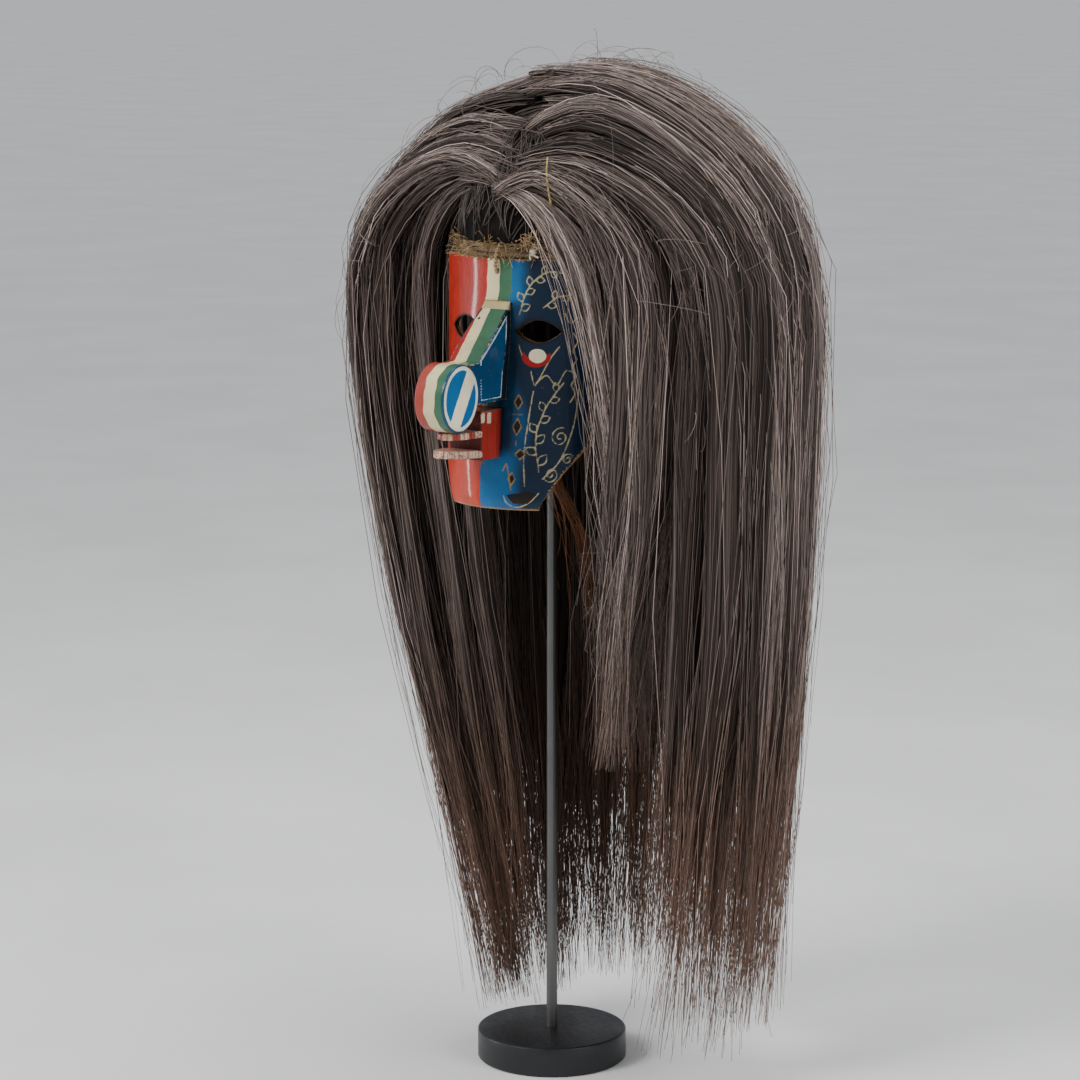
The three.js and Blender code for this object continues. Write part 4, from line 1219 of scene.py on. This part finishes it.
def add_strands(name, bundles, material, node=None):
    """One or more pieces that hold all the strands of some bundles."""
    paths = np.concatenate([bundle[0] for bundle in bundles])
    radii = np.concatenate([bundle[1] for bundle in bundles])
    colours = np.concatenate([bundle[2] for bundle in bundles])
    pieces = max(1, math.ceil(len(paths) / MOST_STRANDS))
    for k in range(pieces):
        part = slice(k * len(paths) // pieces, (k + 1) * len(paths) // pieces)
        points, faces, tints = strand_mesh(paths[part], radii[part], colours[part])
        label = name if pieces == 1 else f"{name}_{k + 1}"
        mesh_object(label, points, faces, material, node, None, {"tint": tints})


def hank(low, high, rings, per_ring, tips, side_shade):
    """Locks of one hank, between two angles. Returns paths and the arrays that go with them."""
    angles, shares, tips_z = [], [], []
    for ring, number, (tip_low, tip_high) in zip(rings, per_ring, tips):
        even = (np.arange(number) + 0.5) / number + rng.normal(0, 0.2 / number, number)
        angles.append(low + (high - low) * even)
        shares.append(ring + rng.normal(0, 0.02, number))
        tips_z.append(rng.uniform(tip_low, tip_high, number))
    angle = np.concatenate(angles)
    ring = np.minimum(np.concatenate(shares), 1.0)
    paths = lock_paths(angle, ring, np.concatenate(tips_z))
    half_width = rng.uniform(14, 23, len(angle)) * (0.7 + 0.3 * ring)
    half_depth = rng.uniform(8, 14, len(angle)) * (0.75 + 0.25 * ring)
    tone = np.clip(rng.normal(0.6, 0.2, len(angle)), 0.12, 1.0)
    shade = np.where(ring > 0.75, 1.0, side_shade)
    return paths, angle, half_width, half_depth, tone, shade


def front_lock_path():
    points = np.array([
        (3, -66, 744), (35, -79, 737), (60, -78, 715), (78, -74, 684), (89, -68, 631),
        (101, -59, 515), (104, -53, 449), (97, -48, 352), (90, -45, 270),
    ], float)
    return curve_through(points, 160)[None]


def parting_cover(per_lock):
    """Strands that cross over the parting line, from short stretches of thirty locks."""
    count = 30
    angle = rng.uniform(60, 185, count) * np.where(np.arange(count) % 2, 1, -1)
    paths = lock_paths(angle, rng.uniform(0.75, 0.97, count), np.full(count, 200.0)) - [0, 0, 5]
    over = 17 * smooth(1, 0, np.linspace(0, 1, paths.shape[1]) / 0.13)
    paths[..., 0] -= np.sign(angle)[:, None] * over
    wide, deep = np.full(count, 26.0), np.full(count, 16.0)
    tone, shade = np.full(count, 0.4), np.full(count, 0.9)
    return strands_from(paths, angle, wide, deep, per_lock, tone, shade, 5.0, 0.3, 0.24)


def make_hair():
    total = 1.0
    strand = hair_material("horse hair")
    near = hank(42, 60, (0.76, 0.64), (4, 2), ((250, 320), (260, 360)), 0.5)
    hanks = {
        "right": hank(60, 146, (0.985, 0.86, 0.72, 0.56), (13, 11, 8, 5),
                      ((20, 60), (20, 90), (40, 200), (180, 340)), 0.75),
        "left": hank(-58, -146, (0.985, 0.86, 0.72, 0.56), (13, 11, 8, 6),
                     ((20, 60), (20, 70), (25, 90), (40, 120)), 0.75),
        "back": hank(143, 217, (0.97, 0.82, 0.6), (10, 9, 14), ((48, 100), (44, 90), (44, 90)), 0.7),
    }
    hanks["right"] = tuple(np.concatenate(pair) for pair in zip(hanks["right"], near))
    for side, (paths, angle, half_width, half_depth, tone, shade) in hanks.items():
        node = "hair_" + side
        lock_cores(node + "_core", paths, angle, half_width, half_depth, tone, node)
        number = int(STRANDS_A_LOCK * total)
        bundle = strands_from(paths, angle, half_width, half_depth, number, tone, shade)
        add_strands(node + "_strands", [bundle], strand, node)
    add_strands("hair_parting", [parting_cover(int(16 * total))], strand, "hair_crown")
    path = front_lock_path()
    sizes = (np.array([34.0]), np.array([15.0]), np.array([8.0]))
    tone, shade = np.array([0.8]), np.array([1.05])
    bundle = strands_from(path, *sizes, int(320 * total), tone, shade, 3.0, 0.16, ragged=0.62)
    lock_cores("hair_front_lock_core", path, *sizes, tone, "hair_front_lock")
    add_strands("hair_front_lock_strands", [bundle], strand, "hair_front_lock")
    add_strands("hair_loose", [flyaways(int(360 * total)), fluff(int(170 * total))], strand)


def flyaways(count):
    """Single hairs that stand off the wig, in open loops and hooks."""
    angle = rng.uniform(50, 310, count)
    angle = np.where(angle > 180, angle - 360, angle)
    part = along_part(angle)
    rise = rng.uniform(-0.08, 1.0, count)
    w = np.sqrt(np.clip(1 - np.maximum(rise, 0) ** 2, 0, 1))
    end = plan_point(angle, 0.97, SHOULDER_Z, 1.0)
    root = np.stack([np.zeros(count), PARTING_FRONT_Y + PARTING_LENGTH * part], axis=-1)
    start = np.column_stack([
        root + (end[:, :2] - root) * w[:, None],
        SHOULDER_Z + dome_rise(part) * rise,
    ])
    start[:, 2] = np.where(rise < 0, SHOULDER_Z + rise * 1900, start[:, 2])
    centre = np.array([HAIR_X, HAIR_Y, 0.0])
    away = start - centre
    away[:, 2] = np.maximum(0, (start[:, 2] - 640)) * 0.9
    away = unit(away)
    aside = unit(np.cross(away, rng.normal(size=(count, 3))))
    turn = rng.uniform(0.4, 1.0, count)[:, None] * np.linspace(0, 1, STRAND_POINTS) * np.pi * 1.2
    size = 6 + 17 * rng.random(count) ** 2
    out = size[:, None] * np.sin(turn) * 0.9
    along = size[:, None] * (1 - np.cos(turn)) * 1.5
    path = start[:, None] + away[:, None] * (out - 3)[..., None] + aside[:, None] * along[..., None]
    path = np.clip(path, *cad_limits)
    tone = rng.uniform(0.2, 0.7, count)
    colours = strand_colours(path[..., 2], tone, rng.uniform(0.5, 1.0, count))
    return path, taper(0.26, 0.16, count), colours


def fluff(count):
    """Matted loose hair behind the tip of the front lock."""
    centre = np.array([74.0, 5.0, 384.0]) + rng.normal(0, 1, (count, 3)) * [15, 20, 34]
    u = np.linspace(0, 1, STRAND_POINTS)[None, :, None]
    path = centre[:, None] + [0, 0, 1] * (18 - 46 * u) * rng.uniform(0.3, 1.2, (count, 1, 1))
    for pace in (2.4, 4.4, 7.0):
        phase = rng.uniform(0, 2 * np.pi, (count, 1, 3))
        reach = rng.normal(0, 11 / pace, (count, 1, 3))
        path = path + reach * np.sin(pace * rng.uniform(0.7, 1.5, (count, 1, 1)) * u + phase)
    tone = rng.uniform(0.15, 0.75, count)
    colours = strand_colours(path[..., 2] + 200, tone, rng.uniform(0.2, 0.6, count))
    return path, taper(0.3, 0.18, count), colours


def make_chin_lock():
    strand = hair_material("auburn hair")
    path = curve_through([
        (40, -62, 540), (36, -50, 508), (22, 10, 456), (12, 36, 412), (8, 44, 372),
    ], 160)[None]
    sizes = (np.array([20.0]), np.array([5.0]), np.array([3.0]))
    centre, thick, _ = strands_from(path, *sizes, 52, np.array([0.5]), np.array([1.0]), 1.8, 0.25)
    shades = np.array(rgb(118, 76, 46)) * rng.uniform(0.3, 1.5, (len(centre), 1, 1))
    bundle = centre, thick, np.broadcast_to(shades, centre.shape)
    add_strands("chin_lock_strands", [bundle], strand, "chin_lock")


def make_crown():
    """Hair roots that lie on the cap: short dark strands over a dark skin."""
    rows, columns = 14, 48
    swell = 4.0
    foot_z = CAP_BOTTOM_Z + BAND_HEIGHT
    mound = CAP_HEIGHT + 20
    turn = 2 * np.pi * np.arange(columns) / columns
    rings = [
        np.column_stack([
            (CAP_HALF_WIDTH + swell) * math.cos(climb) * np.sin(turn),
            CAP_Y - (CAP_HALF_DEPTH + swell) * math.cos(climb) * np.cos(turn),
            np.full(columns, foot_z + mound * math.sin(climb)),
        ]) for climb in np.linspace(0, np.pi / 2 * 0.98, rows)
    ]
    points = np.concatenate(rings + [np.array([[0, CAP_Y, foot_z], [0, CAP_Y, foot_z + mound]])])
    faces = oriented(points, tube_faces(rows, columns))
    angle = np.arctan2(points[:, 0], -(points[:, 1] - CAP_Y))
    streaks = {"streak_x": angle * 9, "streak_y": angle * 0, "streak_z": points[:, 2] / 90}
    mesh_object(
        "hair_crown_skin", points, faces, cores_material, "hair_crown",
        streaks, {"tint": np.broadcast_to(np.array(rgb(30, 23, 18)), points.shape)},
    )
    count = 380
    turn = rng.uniform(-1.5, 1.5, (count, 1))
    low = rng.uniform(0.0, 0.5, (count, 1))
    climb = low + (1.35 - low) * np.linspace(0, 1, STRAND_POINTS) * rng.uniform(0.3, 1.0, (count, 1))
    lean = turn + rng.normal(0, 0.4, (count, 1)) * (climb - low)
    lean = lean + 0.06 * np.sin(climb * 9 + turn * 20)
    lift = swell + 1.2 + rng.uniform(0, 5, (count, 1)) * (climb - low)
    path = np.stack([
        (CAP_HALF_WIDTH + lift) * np.cos(climb) * np.sin(lean),
        CAP_Y - (CAP_HALF_DEPTH + lift) * np.cos(climb) * np.cos(lean),
        foot_z + (mound + lift - swell) * np.sin(climb),
    ], axis=-1)
    tints = strand_colours(path[..., 2] + 100, rng.uniform(0.0, 0.45, count), np.zeros(count)) * 0.5
    bundle = path, taper(0.42, 0.26, count), tints
    add_strands("hair_crown_strands", [bundle], hair_material("crown hair"), "hair_crown")


# Small things on the brow
def twisted(path, radius, plies, pitch, sides=6):
    """Plies of a twisted cord along a path, as tubes."""
    lengths = lengths_along(path)
    _, outward, across = frames_along(path, np.broadcast_to([0.3, -1.0, 0.2], path.shape))
    parts = []
    for ply in range(plies):
        turn = 2 * np.pi * (lengths / pitch + ply / plies)
        off = (across * np.cos(turn)[:, None] + outward * np.sin(turn)[:, None]) * radius * 0.55
        parts.append(sweep(path + off, radius * 0.55, sides, (0.3, -1.0, 0.2)))
    return parts


def band_point(angle, lift, z):
    """A point on the cap's front edge. angle in degrees from the front."""
    turn = np.radians(angle)
    return np.stack([
        (CAP_HALF_WIDTH + lift) * np.sin(turn), CAP_Y - (CAP_HALF_DEPTH + lift) * np.cos(turn), z,
    ], axis=-1)


def make_band():
    """Rows of twisted fibre with a fringe and a tuft."""
    parts = []
    for row in range(4):
        angle = np.linspace(-96, 96, 130)
        z = CAP_BOTTOM_Z + 2.2 + 3.0 * row + 0.7 * np.sin(angle / 9 + row * 2)
        z = z + 0.3 * np.sin(angle / 3 + row)
        lift = 1.2 + 0.6 * np.sin(angle / 7 + row * 1.7)
        parts += twisted(band_point(angle, lift, z), 1.9, 3, 9.0 + row)
    points, faces = joined(parts)
    material = fibre_material("twisted fibre", rgb(134, 106, 70), rgb(52, 38, 24))
    mesh_object("cap_band", points, faces, material, None)
    t = np.linspace(0, 1, 7)
    count = 420
    angle = rng.uniform(-92, 92, count)
    start = band_point(angle, 2.2, CAP_BOTTOM_Z + rng.uniform(0.5, 14, count))
    aside, ahead, upward = rng.normal(0, 1, count), rng.normal(0, 0.3, count), rng.normal(0, 0.5, count)
    drift = unit(np.column_stack([aside, ahead - 0.4, upward]))
    length = rng.uniform(5, 16, count)[:, None, None]
    path = start[:, None] + drift[:, None] * t[None, :, None] * length
    path[..., 2] += np.sin(t * 3) * rng.normal(0, 1.5, (count, 1))
    depth = CAP_HALF_DEPTH * np.sqrt(np.maximum(0, 1 - (path[..., 0] / CAP_HALF_WIDTH) ** 2))
    path[..., 1] = np.minimum(path[..., 1], CAP_Y - depth - 0.8)
    tone = rng.uniform(0.6, 1.3, count)[:, None, None]
    colours = np.broadcast_to(np.array(rgb(142, 116, 78)) * tone, path.shape)
    fringe = path, np.full((count, 7), 0.28), colours
    count = 90
    centre = band_point(np.array([20.0]), 3.0, np.array([704.5]))[0]
    heading = unit(rng.normal(0, 1, (count, 3)) + [0.2, -0.7, 0.5])
    base = centre + rng.normal(0, 2.5, (count, 3))
    path = base[:, None] + heading[:, None] * t[None, :, None] * rng.uniform(4, 12, (count, 1, 1))
    tuft = path, np.full((count, 7), 0.3), np.broadcast_to(np.array(rgb(176, 150, 112)), path.shape)
    add_strands("cap_band_fuzz", [fringe, tuft], hair_material("fibre fuzz"))


def make_lacing():
    x, hole_z = LACING_HOLE
    y = face_front_y(hole_z)
    path = curve_through([
        (x + 5, -78.6, 702), (x + 2.4, -79.4, 696), (x + 0.6, -78.9, 689), (x, y - 2.2, hole_z + 4),
        (x, y - 1.2, hole_z + 0.6), (x, y + 2.5, hole_z), (x, y + 7, hole_z),
    ], 60)
    points, faces = joined(twisted(path, 1.5, 2, 6.0, 8))
    material = fibre_material("lacing fibre", rgb(190, 166, 124), rgb(122, 96, 62), 500)
    mesh_object("front_lacing_cord", points, faces, material, "front_lacing")


def make_knot_and_straw():
    """A knot of white thread and a stalk of straw, which stand in the hair over the brow."""
    knot = []
    centre = np.array([30.5, -73.5, 697.0])
    turn = np.linspace(0, 2 * np.pi, 22)
    for tilt in (0.0, 1.1, 2.2):
        deep, high = 1.6 * math.cos(tilt), 2.2 * math.sin(tilt + 0.6)
        ring = np.column_stack([2.4 * np.cos(turn), deep * np.sin(turn), high * np.sin(turn)])
        knot.append(sweep(centre + ring, 1.1, 7))
    for middle, end in (((3, -1.5, -3), (6, -1, -4.5)), ((-2, -1.5, -3.5), (-1, -1.6, -6.5))):
        knot.append(sweep(curve_through([centre, centre + middle, centre + end], 12), 0.8, 7))
    points, faces = joined(knot)
    white = fibre_material("white thread", rgb(222, 216, 204), rgb(150, 142, 128), 700)
    mesh_object("white_knot", points, faces, white, None)
    straw = fibre_material("straw", rgb(196, 172, 96), rgb(138, 112, 56), 300)
    path = curve_through([(50, -76, 735), (49, -79, 748), (48, -80, 762), (49.5, -81, 774)], 14)
    points, faces = sweep(path, np.linspace(1.0, 0.55, 14), 7)
    mesh_object("straw_stalk", points, faces, straw, None)


# Stage, light and camera
def make_stage():
    s = Shader("pale floor")
    tone = s.mix(s.range(s.noise(3, 3), 0.3, 0.7), rgb(214, 214, 212), rgb(222, 222, 220))
    s.set(Base_Color=tone, Roughness=0.8)
    mesh = bpy.data.meshes.new("floor")
    turn = 2 * np.pi * np.arange(64) / 64
    rim = np.column_stack([60 * np.cos(turn), 60 * np.sin(turn), np.full(64, -0.0002)])
    mesh.from_pydata(rim.tolist(), [], [list(range(64))])
    mesh.materials.append(s.material)
    floor = bpy.data.objects.new("floor", mesh)
    bpy.context.scene.collection.objects.link(floor)


def area_light(name, place, aim, size, power, tone=(1, 1, 1)):
    data = bpy.data.lights.new(name, "AREA")
    data.shape = "RECTANGLE"
    data.size, data.size_y = size
    data.energy = power
    data.color = tone
    light = bpy.data.objects.new(name, data)
    bpy.context.scene.collection.objects.link(light)
    light.location = place
    light.rotation_euler = (Vector(aim) - Vector(place)).to_track_quat("-Z", "Y").to_euler()


def make_lights():
    world = bpy.data.worlds.new("studio")
    world.use_nodes = True
    world.node_tree.nodes["Background"].inputs[0].default_value = (0.9, 0.93, 1.0, 1)
    world.node_tree.nodes["Background"].inputs[1].default_value = 0.5
    bpy.context.scene.world = world
    data = bpy.data.lights.new("sun", "SUN")
    data.energy = 1.5
    data.angle = math.radians(24)
    sun = bpy.data.objects.new("sun", data)
    sun.rotation_euler = (math.radians(48), 0, math.radians(-24))
    bpy.context.scene.collection.objects.link(sun)
    area_light("key", (-0.9, -2.2, 1.9), (0, 0, 0.6), (0.8, 0.8), 18)
    area_light("strip", (-1.5, -0.75, 0.74), (-0.03, -0.09, 0.6), (0.11, 1.1), 11)
    area_light("side", (2.2, -0.2, 1.5), (0, 0, 0.5), (1.0, 1.6), 30)
    area_light("top", (0.1, 0.5, 2.6), (0, 0, 0.6), (1.4, 1.4), 34)


CAMERA_PLACE = (1.6132, -2.4099, 0.951)
CAMERA_DIP = 9.83
CAMERA_TURN = 34.0
CAMERA_LENS = 117.1


def make_camera():
    data = bpy.data.cameras.new("camera")
    data.sensor_width = 36
    data.lens = CAMERA_LENS
    camera = bpy.data.objects.new("camera", data)
    camera.location = CAMERA_PLACE
    camera.rotation_euler = (math.radians(90 - CAMERA_DIP), 0, math.radians(CAMERA_TURN))
    bpy.context.scene.collection.objects.link(camera)
    bpy.context.scene.camera = camera


make_camera()
make_lights()
make_stage()
make_base()
make_face()
make_nose()
make_mouth()
make_hair()
make_chin_lock()
make_crown()
make_band()
make_lacing()
make_knot_and_straw()

for name, material in {
    "stand_rod": steel_material("steel rod", rgb(98, 98, 97), 0.26, 0.42, (1.0, 1.0, 0.05), 520),
    "wig_cap": fibre_material("cap hide", rgb(118, 92, 62), rgb(66, 48, 32)),
}.items():
    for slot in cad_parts[name].material_slots:
        slot.material = material
